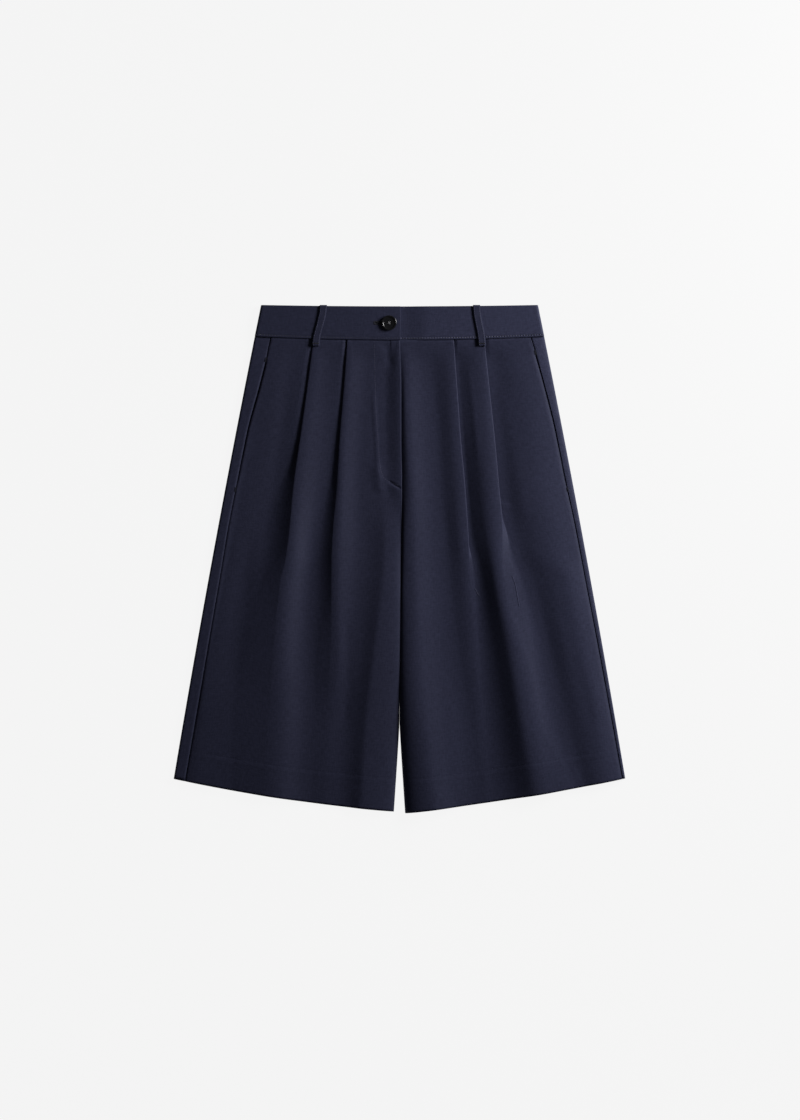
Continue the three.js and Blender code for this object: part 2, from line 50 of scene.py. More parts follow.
# %% [markdown]
# ## Sizes
# The outline and the folds are worked out from named sizes and two short tables, one for
# each front. A fold line is given at a few stations down the leg, by its distance u from
# the middle of the garment and its height z. Most of these values shape the solids too.
# Some were moved here later to match the photograph, so the cloth lies up to 2.7 mm from
# the solids. All of them are in millimetres.

# %% Sizes of the cloth and the outline
CLOTH = 1.0
BAND = 1.8
SEAM_GAP = 0.3
HALF_GAP = SEAM_GAP / 2
HALF_CLOTH = CLOTH / 2
BACK_LEVEL = HALF_CLOTH
FRONT_LEVEL = CLOTH + SEAM_GAP + HALF_CLOTH
SIDE_LEVEL = 3.7
WAIST_HALF = 166.3
WAIST_SIDE_Y = 305.2
WAIST_SAG = 1.6
BAND_SIDE_Y = 267.6
BAND_SAG = 4.0
FLARE = 0.2021
FLARE_EASE = 3.1e-5
HEMS = {"right": (-303.2, 0.0792, 2.5e-4), "left": (-305.4, 0.1085, 1.8e-4)}
LEG_LENGTH = 566.0
LEG_GAP_START = 455.0
LEG_GAP_SLOPE = 0.0667
ROLL_START, ROLL_END = 178.0, 240.0

# %% Folds of the two fronts
# Each row has a value for every station. A pair of rows holds u and z.
# crest: the top of a fold. fold, lip: its folded edge, and how far it has rounded down
# there. bend, hollow: radii at that edge and at the low point. tuck, low: the low point.
# foot: where the cloth starts to rise to the next fold. rise: the shares of that rise in
# which its slope grows and dies. press: how far the cloth beyond the fold is raised.
DOWN = [0, 60, 120, 180, 240, 270, 300, 380, 470, LEG_LENGTH]
CENTRE_X = [0.8, 2.4, 2.5, 3.5, 3.0, 2.4, 1.9, 0.9, 0, 0]
NONE = [0] * 10
RIGHT_INNER_PLEAT = {
    "crest": ([59.5, 63.4, 68.4, 71.5, 74, 75, 75, 74.5, 84, 88],
              [4.65, 4.8, 5.4, 6.3, 7.3, 7.7, 7.5, 5.6, 2.6, 2.3]),
    "fold": [61.8, 66.4, 71.4, 75, 80, 81, 81, 82, 88, 92],
    "lip": [0.05, 0.2, 0.3, 0.5, 0.8, 0.7, 0.5, 0.3, 0.05, 0.05],
    "bend": [0.7, 0.7, 0.7, 0.8, 1.2, 3, 6, 15, 20, 20],
    "tuck": [55, 61, 69, 86, 98, 102, 105, 108, 103, 104],
    "low": [1.8, 1.8, 1.9, 1.9, 1.9, 1.8, 1.8, 1.8, 1.9, 1.9],
    "hollow": [0.7, 0.75, 0.9, 22, 40, 50, 60, 60, 60, 60],
    "foot": [67, 72, 78, 88, 99, 103, 106, 109, 104, 105],
    "rise": ([0.5] * 10, [0.2] * 10),
    "press": [1.6, 1.2, 0.5, 0, 0, 0, 0, 0, 0, 0],
}
RIGHT_OUTER_PLEAT = {
    "crest": ([101.3, 108.8, 117, 125, 130.4, 133.5, 139, 146, 150, 156],
              [4.65, 4.9, 6.2, 7.9, 9.6, 9.9, 9.4, 8.6, 7.6, 7.0]),
    "fold": [102.6, 110.3, 118.4, 126.6, 132.2, 136, 142.5, 150, 156, 162],
    "lip": [0.1] * 10,
    "bend": [0.7, 0.8, 0.9, 1.0, 1.2, 1.6, 5, 18, 50, 60],
    "tuck": [95, 104, 113, 144, 165, 174, 184, 197, 205, 206],
    "low": [1.8, 1.9, 2.2, 2.2, 2.0, 2.0, 2.1, 3.0, 4.2, 4.4],
    "hollow": [0.7, 0.75, 0.85, 35, 85, 90, 95, 100, 120, 120],
    "foot": [110, 117, 126, 146, 167, 176, 186, 199, 208, 209],
    "rise": ([0.45] * 10, [0.25, 0.25, 0.25, 0.3, 0.35, 0.4, 0.4, 0.4, 0.4, 0.4]),
    "press": [1.8, 1.6, 1.1, 0.3, 0, 0, 0, 0, 0, 0],
}
LEFT_INNER_PLEAT = {
    "crest": ([62, 64.4, 68, 72.8, 76, 79, 81.5, 88, 96, 104],
              [4.65, 4.8, 4.85, 4.95, 5.0, 4.5, 4.0, 3.1, 2.2, 1.84]),
    "fold": [64, 68.4, 72.6, 78, 82, 83.5, 85.5, 91, 99, 107],
    "lip": [0.05, 0.2, 0.2, 0.3, 0.35, 0.3, 0.2, 0.05, 0, 0],
    "bend": [0.7, 0.7, 0.7, 0.7, 0.8, 2.5, 4, 10, 14, 14],
    "tuck": [54, 59, 66, 73, 81, 88, 91.5, 96, 102, 110],
    "low": [1.8, 1.8, 1.8, 1.9, 2.4, 3.0, 3.0, 2.7, 2.1, 1.8],
    "hollow": [0.7, 0.7, 0.7, 0.7, 1.0, 3, 5, 12, 16, 16],
    "foot": [68, 72, 76, 80.5, 84.5, 90, 93, 97, 103, 111],
    "rise": ([0.35] * 10, [0.35] * 10),
}
LEFT_OUTER_PLEAT = {
    "crest": ([98.4, 101.4, 105.2, 109, 113.5, 116.5, 120, 136, 150, 168],
              [4.7, 5.5, 6.9, 8.2, 9.6, 10.2, 11.0, 12.2, 12.4, 11.4]),
    "fold": [100.8, 107.0, 113.2, 118.4, 123, 122.5, 125, 141, 155, 173],
    "lip": [0.1, 0.5, 0.8, 1.0, 1.1, 0.8, 0.5, 0.3, 0.2, 0.2],
    "bend": [0.7, 0.7, 0.75, 0.8, 1.4, 9, 22, 45, 60, 70],
    "tuck": [90, 98, 106, 114, 130, 139, 150, 172, 190, 218],
    "low": [1.8, 1.9, 2.3, 2.9, 4.0, 5.0, 5.2, 5.0, 5.3, 5.4],
    "hollow": [0.7, 0.7, 0.75, 0.8, 2.5, 20, 28, 45, 60, 70],
    "foot": [106, 112, 118, 122, 132, 141, 152, 174, 192, 220],
    "rise": ([0.08, 0.08, 0.08, 0.1, 0.2, 0.3, 0.4, 0.5, 0.6, 0.6],
             [0.55, 0.55, 0.55, 0.5, 0.4, 0.35, 0.3, 0.25, 0.2, 0.2]),
}
FOLDS = {
    "right": {
        "lift": [3.0, 3.4, 3.2, 2.8, 2.5, 2.8, 3.6, 3.9, 1.0, 0],
        "lap": NONE,
        "hump": ([16, 18, 17.5, 16, 15, 16, 18.5, 28, 38, 44],
                 [2.5, 2.2, 2.3, 2.9, 5.9, 7.2, 8.2, 8.0, 6.6, 6.5]),
        "dip": ([33, 38, 42.5, 45, 45, 46.5, 50, 56, 70, 74],
                [2.3, 2.3, 2.3, 2.3, 3.2, 4.0, 4.6, 4.2, 2.3, 2.2]),
        "pleats": [RIGHT_INNER_PLEAT, RIGHT_OUTER_PLEAT],
        "side": ([140, 156, 168, 186, 196, 202, 208, 222, 236, 241],
                 [3.9, 3.7, 3.3, 3.0, 2.8, 2.8, 2.9, 3.5, 4.4, 4.5]),
        "strip": [20, 17, 13, 12.5, 12, 12.5, 13, 13.5, 14, 13.7],
    },
    "left": {
        "lift": [0, 0, 0, 2.4, 2.9, 3.1, 3.8, 3.7, 1.0, 0],
        "lap": [12, 12, 9, 0, 0, 0, 0, 0, 0, 0],
        "hump": ([8, 8, 10, 13.5, 14.5, 15, 15.5, 17, 25, 38],
                 [4.0, 5.1, 5.9, 6.7, 7.5, 7.9, 8.3, 9.4, 11.2, 11.2]),
        "dip": ([31, 39, 43.8, 47.4, 53.4, 55.5, 58.2, 67.8, 84, 94],
                [3.2, 2.0, 1.8, 1.8, 1.8, 1.8, 1.8, 1.8, 1.8, 1.8]),
        "pleats": [LEFT_INNER_PLEAT, LEFT_OUTER_PLEAT],
        "side": ([140, 152, 160, 164, 176, 180, 196, 208, 230, 243],
                 [3.8, 4.7, 5.8, 7.0, 8.3, 8.9, 9.2, 9.2, 8.6, 7.6]),
        "strip": [16.3, 11, 8.1, 7.7, 6.1, 5.9, 5.8, 4.9, 4.1, 3.0],
    },
}

# Small creases and stitched ridges: where each runs, as (down, u) points, how wide it
# is, and how high it stands or, below nothing, how deep it sinks.
CREASES = {
    "right": [
        ([(56, 31), (83, 30.2), (119, 28), (143, 26.6), (158, 25.4), (171, 22.6)], 2.8, 0.46),
        ([(148, 29), (164, 27), (184, 22)], 6.0, 0.8),
        ([(169.5, 13), (173.5, 6), (178.5, -2.5)], 1.3, -0.8),
        ([(174, 14), (179, 7), (183, -1)], 4.0, 0.2),
        ([(2, 20), (14, 14), (34, 9)], 5.0, -0.6),
        ([(526, 2), (526.5, 100), (526, 262)], 1.2, -0.11),
        ([(531, 2), (531.5, 100), (531, 262)], 3.0, 0.10),
        ([(230, 168), (330, 176), (430, 190)], 9.0, 0.45),
        ([(60, 132), (150, 146), (230, 160)], 8.0, -0.3),
        ([(430, 118), (500, 120), (560, 126)], 12.0, -0.4),
        ([(330, 64), (420, 62), (470, 66)], 6.0, -0.35),
    ],
    "left": [
        ([(290, 134.5), (308, 138.5), (331, 143)], 2.0, 0.4),
        ([(196, 120), (199, 127), (201, 135)], 1.5, -0.4),
        ([(204, 121), (207, 130)], 2.0, 0.3),
        ([(502, 238), (509, 250), (514, 258)], 1.3, 0.22),
        ([(526, 2), (526.5, 100), (526, 268)], 1.2, -0.11),
        ([(531, 2), (531.5, 100), (531, 268)], 3.0, 0.10),
        ([(30, 82), (80, 88), (150, 95)], 4.0, 0.3),
        ([(60, 124), (140, 136), (230, 150)], 9.0, 0.5),
        ([(330, 196), (420, 214), (500, 236)], 9.0, -0.4),
        ([(430, 60), (500, 66), (560, 74)], 9.0, 0.3),
    ],
    "back": [
        ([(40, 60), (160, 74), (330, 82)], 10.0, 0.22),
        ([(180, 130), (320, 150), (500, 168)], 12.0, 0.2),
        ([(90, 18), (240, 26), (420, 34)], 8.0, 0.18),
        ([(300, 206), (430, 224), (540, 236)], 8.0, 0.2),
    ],
}
print("stations down the leg", DOWN)


# %% Curves through the stations
def smooth(t):
    return t * t * (3 - 2 * t)


def mix(a, b, t):
    return a + (b - a) * t


def ramp(a, b, v):
    return smooth(np.clip((v - a) / (b - a), 0, 1))


def through(xs, ys, at, sloped_ends=False):
    """Smooth curve through the points, with no overshoot between them."""
    xs, ys, at = (np.asarray(v, float) for v in (xs, ys, at))
    step = np.diff(xs)
    slope = np.diff(ys) / np.maximum(step, 1e-9)
    tangent = np.zeros(len(xs))
    if sloped_ends:
        tangent[0], tangent[-1] = slope[0], slope[-1]
    for i in range(1, len(xs) - 1):
        a, b = slope[i - 1], slope[i]
        tangent[i] = 0 if a * b <= 0 else 2 * a * b / (a + b)
    i = np.clip(np.searchsorted(xs, at, side="right") - 1, 0, len(xs) - 2)
    t = np.clip((at - xs[i]) / step[i], 0, 1)
    t2, t3 = t * t, t ** 3
    return (ys[i] * (2 * t3 - 3 * t2 + 1) + tangent[i] * step[i] * (t3 - 2 * t2 + t)
            + ys[i + 1] * (3 * t2 - 2 * t3) + tangent[i + 1] * step[i] * (t3 - t2))


def along(values, down):
    """A table row's value, a given way down the leg."""
    return float(through(DOWN, values, down, sloped_ends=True))


# %% The outline
def half_width(y):
    d = WAIST_SIDE_Y - y
    return WAIST_HALF + FLARE * d - FLARE_EASE * d * d


def band_top(u):
    return WAIST_SIDE_Y - WAIST_SAG * (1 - (u / WAIST_HALF) ** 2)


def band_seam(u):
    return BAND_SIDE_Y - BAND_SAG * (1 - (u / WAIST_HALF) ** 2)


def hem_y(side, u):
    middle, rise, curve = HEMS[side]
    return middle + rise * u + curve * u * u


def leg_y(side, u, down):
    return mix(band_seam(u) - SEAM_GAP, hem_y(side, np.maximum(0, u)), down / LEG_LENGTH)


def leg_gap(down):
    past = max(0.0, down - LEG_GAP_START)
    return LEG_GAP_SLOPE * past * past / (past + 12)


def outer_edge(side, down):
    u = half_width(leg_y(side, 220.0, down))
    for _ in range(4):
        u = half_width(leg_y(side, u, down))
    return u


def sign_of(side):
    return -1 if side == "right" else 1


print("hem half width", round(outer_edge("left", LEG_LENGTH), 1), "mm")

# %% [markdown]
# ## The fronts
# Across a front, the cloth rises from the fly edge to a soft hump, falls, and is folded
# back on itself twice. A knife pleat is two bends of one radius and the straight between
# them; as the radius grows and its tuck moves out from under its crest, the pleat opens
# into a soft wave, as pressed pleats do below the hip. The rows of points are then
# joined down the leg, and each point moved half the cloth's thickness out and in.


# %% The middle line of a front
SEAM_ROLL = 2.2
SEAM_DROP = 0.7
EDGE_ROLL = {"right": (2.2, 0.7), "left": (5.0, 1.0)}
SEAM_TUCK = 0.2
LAP_RISE = 1.9       # how far the hidden lap climbs towards the fly edge
FLY_STEPS = 27
POCKETS = {"right": (26.0, 185.0), "left": (17.5, 185.0)}   # where each side seam is left open
POCKET_GAPE = {"right": 1.15, "left": 0.95}
POCKET_END = 5.0     # over how much of its length a pocket mouth opens at each end
POCKET_CLOSES = 0.55
SEAM_RISE = 4.4      # the level that the fronts rise to, to meet the waistband
SEAM_RISE_OVER = 30.0


def pleat_bend(fold, slope, low, bend, hollow, steps):
    """Round the folded edge and back to the low point, from the slope at the edge."""
    run, drop = low[0] - fold[0], fold[1] - low[1]
    ex, ez = bend * math.sin(slope), bend * math.cos(slope) + hollow
    gap = max(0, (bend + hollow) ** 2 - ex * ex - ez * ez)
    half = max(run, 0) * ex - drop * ez
    reach = max(run, 0) ** 2 + drop * drop
    fit = min(1.0, 0.995 * reach / max(1e-9, math.sqrt(half * half + gap * reach) - half))
    total = (bend + hollow) * fit
    bend = min(bend, total / 2)
    hollow = min(hollow, total - bend)
    over = np.array([fold[0] - bend * math.sin(slope), fold[1] - bend * math.cos(slope)])
    under = np.array([low[0], low[1] + hollow])
    d = under - over
    turn = math.asin(min(1.0, (bend + hollow) / math.hypot(*d))) - math.atan2(d[1], d[0])
    a = np.linspace(slope, turn, steps + 1)[:, None]
    b = np.linspace(turn, 0, steps + 1)[:, None]
    return (over + bend * np.hstack([np.sin(a), np.cos(a)]),
            under - hollow * np.hstack([np.sin(b), np.cos(b)]))


def eased(start, end, steps, first, second):
    """A rise or fall whose slope grows over its first part and dies over its second."""
    t = np.linspace(0, 1, steps + 1)[1:]
    top = 1 / (1 - (first + second) / 2)
    f = np.where(t < first, top * t * t / (2 * first),
                 np.where(t > 1 - second, 1 - top * (1 - t) ** 2 / (2 * second), top * (t - first / 2)))
    return np.stack([mix(start[0], end[0], t), mix(start[1], end[1], f)], 1)


def creased(line, down, creases):
    """The line with the small creases that cross it added."""
    rise = np.zeros(len(line))
    for path, width, height in creases:
        best, place = np.full(len(line), 1e9), np.zeros(len(line))
        for k, ((d0, u0), (d1, u1)) in enumerate(zip(path, path[1:])):
            dd, du = d1 - d0, u1 - u0
            t = np.clip(((down - d0) * dd + (line[:, 0] - u0) * du) / (dd * dd + du * du), 0, 1)
            away = np.hypot(down - d0 - t * dd, line[:, 0] - u0 - t * du)
            nearer = away < best
            best = np.where(nearer, away, best)
            place = np.where(nearer, (k + t) / (len(path) - 1), place)
        ends = np.clip(np.minimum(place, 1 - place) * 5 + 0.25, 0, 1)
        rise += height * smooth(ends) * np.exp(-(best / width) ** 2)
    return np.stack([line[:, 0], line[:, 1] + rise], 1)


def pressed(line, pleats, down):
    """The line with the cloth beyond each folded edge raised towards the fold, near the waist."""
    rise = np.zeros(len(line))
    for pleat in pleats:
        past = line[:, 0] - along(pleat["fold"], down)
        height = along(pleat.get("press", NONE), down)
        rise += height * np.clip((past - 0.6) / 3, 0, 1) * (1 - ramp(6, 30, past))
    return np.stack([line[:, 0], line[:, 1] + rise], 1)


def met(line, down):
    """The line raised, folds and all, to meet the waistband at its seam."""
    share = 1 - float(ramp(0, SEAM_RISE_OVER, down))
    if share <= 0:
        return line
    t = np.arange(len(line))
    fine = np.arange(0, len(line) - 1, 0.125)
    us, zs = np.interp(fine, t, line[:, 0]), np.interp(fine, t, line[:, 1])
    first = line[:, 0].min()
    bins = np.zeros(int(line[:, 0].max() - first) + 2)
    np.maximum.at(bins, (us - first).astype(int), zs)
    needed = share * np.clip(SEAM_RISE - bins, 0, None)
    eased_in = np.convolve(np.concatenate([[needed[0]] * 3, needed]), np.ones(4) / 4, "valid")
    rise = np.interp(line[:, 0] - first, np.arange(len(bins)), eased_in)
    return np.stack([line[:, 0], line[:, 1] + rise], 1)


def front_section(side, down):
    f = FOLDS[side]

    def at(pair):
        return along(pair[0], down), along(pair[1], down)

    roll, lap = float(ramp(ROLL_START, ROLL_END, down)), along(f["lap"], down)
    sway = along(CENTRE_X, down) * (-1 if side == "right" else 1)
    edge_u = sway + HALF_GAP + HALF_CLOTH + leg_gap(down) - lap
    edge_z = mix(FRONT_LEVEL, CLOTH + SEAM_GAP, roll) + along(f["lift"], down)
    hump = at(f["hump"])
    hidden = lap / (hump[0] - edge_u)
    t = np.linspace(0, 1, FLY_STEPS)
    shown = np.clip((t - hidden) / (1 - hidden), 0, 1)
    under_fly = LAP_RISE * ramp(0, hidden + 1e-6, t) * min(1.0, lap / 9)
    over_fly = (hump[1] - edge_z - under_fly) * np.sin(shown * math.pi / 2) ** 0.8
    a = t * math.pi / 2
    across = mix(t, 1 - np.cos(a), roll)
    sharp = mix(0.65, 1.0, float(ramp(290, 370, down))) if side == "left" else 1.0
    up = mix(edge_z, hump[1], np.sin(a) ** sharp)
    flat = mix(edge_z, hump[1], ramp(0, 1, t)) if side == "right" else edge_z + under_fly + over_fly
    parts = [np.stack([mix(edge_u, hump[0], across), mix(flat, up, roll)], 1)]
    dip = at(f["dip"])
    parts.append(eased(hump, dip, 24, 0.2, 0.6))
    last = dip
    for pleat in f["pleats"]:
        crest = at(pleat["crest"])
        fold_u, lip = along(pleat["fold"], down), along(pleat["lip"], down)
        low = (along(pleat["tuck"], down), along(pleat["low"], down))
        parts.append(eased(last, crest, 20, *at(pleat["rise"])))
        slope = math.atan2(2 * lip, fold_u - crest[0])
        if low[0] > fold_u:
            most = 0.75 * (crest[1] - low[1]) / (low[0] - fold_u + 0.375 * (fold_u - crest[0]))
            slope = min(slope, math.atan(max(0, most)))
            lip = math.tan(slope) * (fold_u - crest[0]) / 2
        t = np.linspace(0, 1, 6)[1:-1]
        parts.append(np.stack([mix(crest[0], fold_u, t), crest[1] - lip * t * t], 1))
        parts.extend(pleat_bend((fold_u, crest[1] - lip), slope, low,
                                along(pleat["bend"], down), along(pleat["hollow"], down), 8))
        last = (along(pleat["foot"], down), low[1] - 0.01)
        parts.append(eased(low, last, 3, 0.3, 0.3))
    start, end = POCKETS[side]
    pocket = float(ramp(start, start + POCKET_END, down) * (1 - ramp(end - POCKET_END, end, down))
                   * (1 - POCKET_CLOSES * ramp(70, 170, down)))
    gap = HALF_GAP + SEAM_TUCK + POCKET_GAPE[side] * pocket
    rim_u = outer_edge(side, down) - along(f["strip"], down) - gap
    side_knot = at(f["side"])
    parts.append(eased(last, side_knot, 16, 0.3, 0.5))
    width, drop = EDGE_ROLL[side]
    us = np.concatenate([np.linspace(side_knot[0], rim_u - width, 14)[1:],
                         np.linspace(rim_u - width, rim_u, 7)[1:]])
    t = (us - side_knot[0]) / (rim_u - side_knot[0])
    zs = mix(side_knot[1], SIDE_LEVEL, 1 - np.cos(t * math.pi / 2))
    into = np.clip((us - rim_u) / width + 1, 0, 1)
    parts.append(np.stack([us, zs - drop * into ** 2], 1))
    line = met(pressed(np.concatenate(parts), f["pleats"], down), down)
    return creased(line, down, CREASES[side])


print("points across a front", len(front_section("left", 100.0)))


# %% [markdown]
# ## Walls of cloth
# One helper gives every piece its thickness. It takes rows of points on the outer and the
# inner face, closes them with a slightly rounded rim, and keeps each point's distance
# along the cloth as a UV map in metres, so that the weave runs with the grain of each
# piece and bends with its folds.


# %% Thickness and meshes
def new_piece(name, points, faces, edges=(), smooth=0):
    """An object from points in millimetres, with its first faces, as many as said, smooth."""
    mesh = bpy.data.meshes.new(name)
    mesh.from_pydata((np.asarray(points, float) * MM).tolist(), list(edges), faces)
    if smooth:
        mesh.polygons.foreach_set("use_smooth", [k < smooth for k in range(len(mesh.polygons))])
    mesh.update()
    piece = bpy.data.objects.new(name, mesh)
    bpy.context.scene.collection.objects.link(piece)
    return piece


def level_run(us, z):
    """A straight stretch of a line, at one height."""
    return np.stack([us, np.full_like(us, z)], 1)


def two_faces(line, thickness):
    ahead = np.concatenate([line[1:], line[-1:]])
    behind = np.concatenate([line[:1], line[:-1]])
    d = ahead - behind
    d /= np.maximum(np.hypot(d[:, 0], d[:, 1]), 1e-9)[:, None]
    normal = np.stack([-d[:, 1], d[:, 0]], 1) * thickness / 2
    return line + normal, line - normal


middle_of = {}       # each piece's middle points
flat_of = {}         # each piece's outer points, with their places on its UV map


def make_wall(name, upper, lower, rounding=0.22):
    """A closed shell from two grids of points, in millimetres, with a rim between them."""
    node = name.replace("_cloth", "")
    middle = middle_of[node] = (upper + lower) / 2
    rows, cols = upper.shape[:2]
    across = np.zeros((rows, cols))
    across[:, 1:] = np.cumsum(np.linalg.norm(np.diff(upper, axis=1), axis=2), 1)
    down = np.zeros((rows, cols))
    down[1:] = np.cumsum(np.linalg.norm(np.diff(upper, axis=0), axis=2), 0)
    flat = np.stack([across, down], -1) * MM
    flat_of[node] = (upper, flat)
    ring = ([(0, j) for j in range(cols)] + [(i, cols - 1) for i in range(1, rows)]
            + [(rows - 1, j) for j in range(cols - 2, -1, -1)] + [(i, 0) for i in range(rows - 2, 0, -1)])
    ri, rj = np.array(ring).T
    inner = middle[np.clip(ri, 1, rows - 2), np.clip(rj, 1, cols - 2)]
    out = middle[ri, rj] - inner
    out /= np.maximum(np.linalg.norm(out, axis=1), 1e-9)[:, None]
    rim = middle[ri, rj] + out * rounding * 0.5
    points = np.concatenate([upper.reshape(-1, 3), lower.reshape(-1, 3), rim])
    n = rows * cols
    ids = np.arange(n).reshape(rows, cols)
    q = np.stack([ids[:-1, :-1], ids[1:, :-1], ids[1:, 1:], ids[:-1, 1:]], -1).reshape(-1, 4)
    ring_ids = ri * cols + rj
    nxt = np.roll(np.arange(len(ring)), -1)
    rim_ids = 2 * n + np.arange(len(ring))
    top_rim = np.stack([ring_ids, ring_ids[nxt], rim_ids[nxt], rim_ids], -1)
    low_rim = np.stack([rim_ids, rim_ids[nxt], n + ring_ids[nxt], n + ring_ids], -1)
    faces = np.concatenate([q, n + q[:, ::-1], top_rim, low_rim])
    tri = np.concatenate([faces[:, [0, 1, 2]], faces[:, [0, 2, 3]]])
    a, b, c = points[tri[:, 0]], points[tri[:, 1]], points[tri[:, 2]]
    if np.einsum("ij,ij->i", a, np.cross(b, c)).sum() < 0:
        faces = faces[:, ::-1]
    piece = new_piece(name, points, faces.tolist(), smooth=2 * len(q))
    mesh, flat = piece.data, flat.reshape(-1, 2)
    uv = np.concatenate([flat, flat, flat[ring_ids]])
    layer = mesh.uv_layers.new(name="cloth")
    loops = np.empty(len(mesh.loops), dtype=np.int64)
    mesh.loops.foreach_get("vertex_index", loops)
    layer.data.foreach_set("uv", uv[loops].astype(np.float32).ravel())
    mesh.validate()
    mesh.update()
    return piece


def panel_points(side, sections, downs, thickness, lowest):
    upper, lower = [], []
    for down, line in zip(downs, sections):
        above, below = two_faces(line, thickness)
        for face, store in ((above, upper), (below, lower)):
            x = sign_of(side) * face[:, 0]
            y = leg_y(side, face[:, 0], down)
            store.append(np.stack([x, y, np.maximum(face[:, 1], lowest)], 1))
    return np.array(upper), np.array(lower)


# %% The two fronts
leg_downs = np.unique(np.round(np.concatenate([
    np.linspace(0, LEG_LENGTH, 191), np.linspace(160, 194, 28), np.linspace(521, 536, 19)]), 2))
cloth = {}
for side in SIDES:
    sections = [front_section(side, d) for d in leg_downs]
    up, low = panel_points(side, sections, leg_downs, CLOTH, CLOTH + SEAM_GAP)
    cloth[f"front_{side}"] = make_wall(f"front_{side}_cloth", up, low)
    print("front", side, len(cloth[f"front_{side}"].data.polygons), "faces")

# %% [markdown]
# ## The backs
# Only a narrow strip of each back shows, where it comes round the side of the leg to the
# seam that lies forward on the front. The rest lies flat on the surface, under the front.


# %% The two backs
WRAP = {"right": 2.4, "left": 10.0}


def back_section(side, down):
    inner = HALF_GAP + leg_gap(down)
    radius = (SIDE_LEVEL - BACK_LEVEL) / 2
    reach = max(1.5, min(WRAP[side], along(FOLDS[side]["strip"], down) - 2.4))
    outer = outer_edge(side, down) - reach - HALF_CLOTH
    seam = outer_edge(side, down) - along(FOLDS[side]["strip"], down) + HALF_GAP + SEAM_TUCK
    flat = np.linspace(inner, outer, 40)[:-1]
    a = np.linspace(0, math.pi, 21)
    seam = min(seam, outer - 0.4)
    roll = min(SEAM_ROLL, max(0.2, 0.8 * (outer - seam - 1)))
    end = np.concatenate([np.linspace(outer, seam + roll, 5)[1:], np.linspace(seam + roll, seam, 7)[1:]])
    into = np.clip((seam + roll - end) / roll, 0, 1)
    under = creased(level_run(flat, BACK_LEVEL), down, CREASES["back"])
    return np.concatenate([
        under,
        np.stack([outer + reach * np.sin(a), BACK_LEVEL + radius - radius * np.cos(a)], 1),
        np.stack([end, SIDE_LEVEL - SEAM_DROP * into ** 2 * roll / SEAM_ROLL], 1),
    ])


back_downs = np.linspace(0, LEG_LENGTH, 121)
for side in SIDES:
    sections = [back_section(side, d) for d in back_downs]
    up, low = panel_points(side, sections, back_downs, CLOTH, 0.0)
    cloth[f"back_{side}"] = make_wall(f"back_{side}_cloth", up, low)
    print("back", side, len(cloth[f"back_{side}"].data.polygons), "faces")

# %% [markdown]
# ## The waistband
# Each half runs from the middle of the front round the side to the middle of the back.
# The half with the buttonhole ends on top, and the other runs on under it.

# %% The waistband
BAND_FRONT = 5.1
BAND_BACK = BAND / 2
UNDERLAP_LEVEL = 3.0
UNDERLAP = 30.0
UNDERLAP_RISE = 34.0
OVERLAP_X = 0.8


def band_section(side, share):
    bend = (BAND_FRONT - BAND_BACK) / 2
    outer = half_width(mix(BAND_SIDE_Y, WAIST_SIDE_Y, share)) - bend - BAND / 2
    if side == "left":
        u = np.concatenate([np.linspace(-UNDERLAP, UNDERLAP_RISE, 34)[:-1],
                            np.linspace(UNDERLAP_RISE, outer, 50)[:-1]])
        z = mix(UNDERLAP_LEVEL, BAND_FRONT, ramp(OVERLAP_X + 2, UNDERLAP_RISE, u))
    else:
        u = np.concatenate([[-OVERLAP_X, 0.3 - OVERLAP_X], np.linspace(0.9, outer, 69)[:-1]])
        z = np.full_like(u, BAND_FRONT)
    a = np.linspace(0, math.pi, 15)
    back = np.linspace(outer, HALF_GAP, 40)[1:]
    return np.concatenate([
        np.stack([u, z], 1),
        np.stack([outer + bend * np.sin(a), BAND_FRONT - bend + bend * np.cos(a)], 1),
        level_run(back, BAND_BACK),
    ])


BAND_DEEP = WAIST_SIDE_Y - BAND_SIDE_Y
SEAM_SWELLS = ((0.9, 0.7, 0.22), (2.7, 0.8, -0.14))   # how far above the seam, how wide, how high
band_rows = np.concatenate([
    [0, 0.3, 0.7, 1.1, 1.5, 1.9, 2.3, 2.8, 3.4, 4.2, 5.4], np.linspace(7.5, BAND_DEEP - 1, 13),
    [BAND_DEEP - 0.4, BAND_DEEP]]) / BAND_DEEP
for side in SIDES:
    up, low = [], []
    for share in band_rows:
        above, below = two_faces(band_section(side, share), BAND)
        for place, wide, height in SEAM_SWELLS:
            above[:, 1] += height * math.exp(-((share * BAND_DEEP - place) / wide) ** 2) * (above[:, 1] > 3)
        for face, store in ((above, up), (below, low)):
            y = mix(band_seam(face[:, 0]), band_top(face[:, 0]), share)
            store.append(np.stack([sign_of(side) * face[:, 0], y, face[:, 1]], 1))
    cloth[f"waistband_{side}"] = make_wall(f"waistband_{side}_cloth", np.array(up), np.array(low), 0.5)
print("waistband halves made")

# %% [markdown]
# ## The belt loops
# A loop is a narrow strip, folded over the band's top edge and turned under at its foot.
# Both lean outwards as they go down.

# %% The belt loops
LOOP_WIDTH = 8.4
LOOP_BEND = 0.6
LOOP_TOP_BEND = 1.2
LOOP_BELOW_SEAM = 9.0
LOOP_TURN = 6.5
LOOP_LEVEL = 6.9
LOOPS = {"right": (91.4, 100.4), "left": (92.4, 99.0)}


def loop_ends(side):
    """How high up a loop's top and its foot are."""
    top_u, foot_u = LOOPS[side]
    return band_top(top_u) + SEAM_GAP + HALF_CLOTH, band_seam(foot_u) - LOOP_BELOW_SEAM + HALF_CLOTH


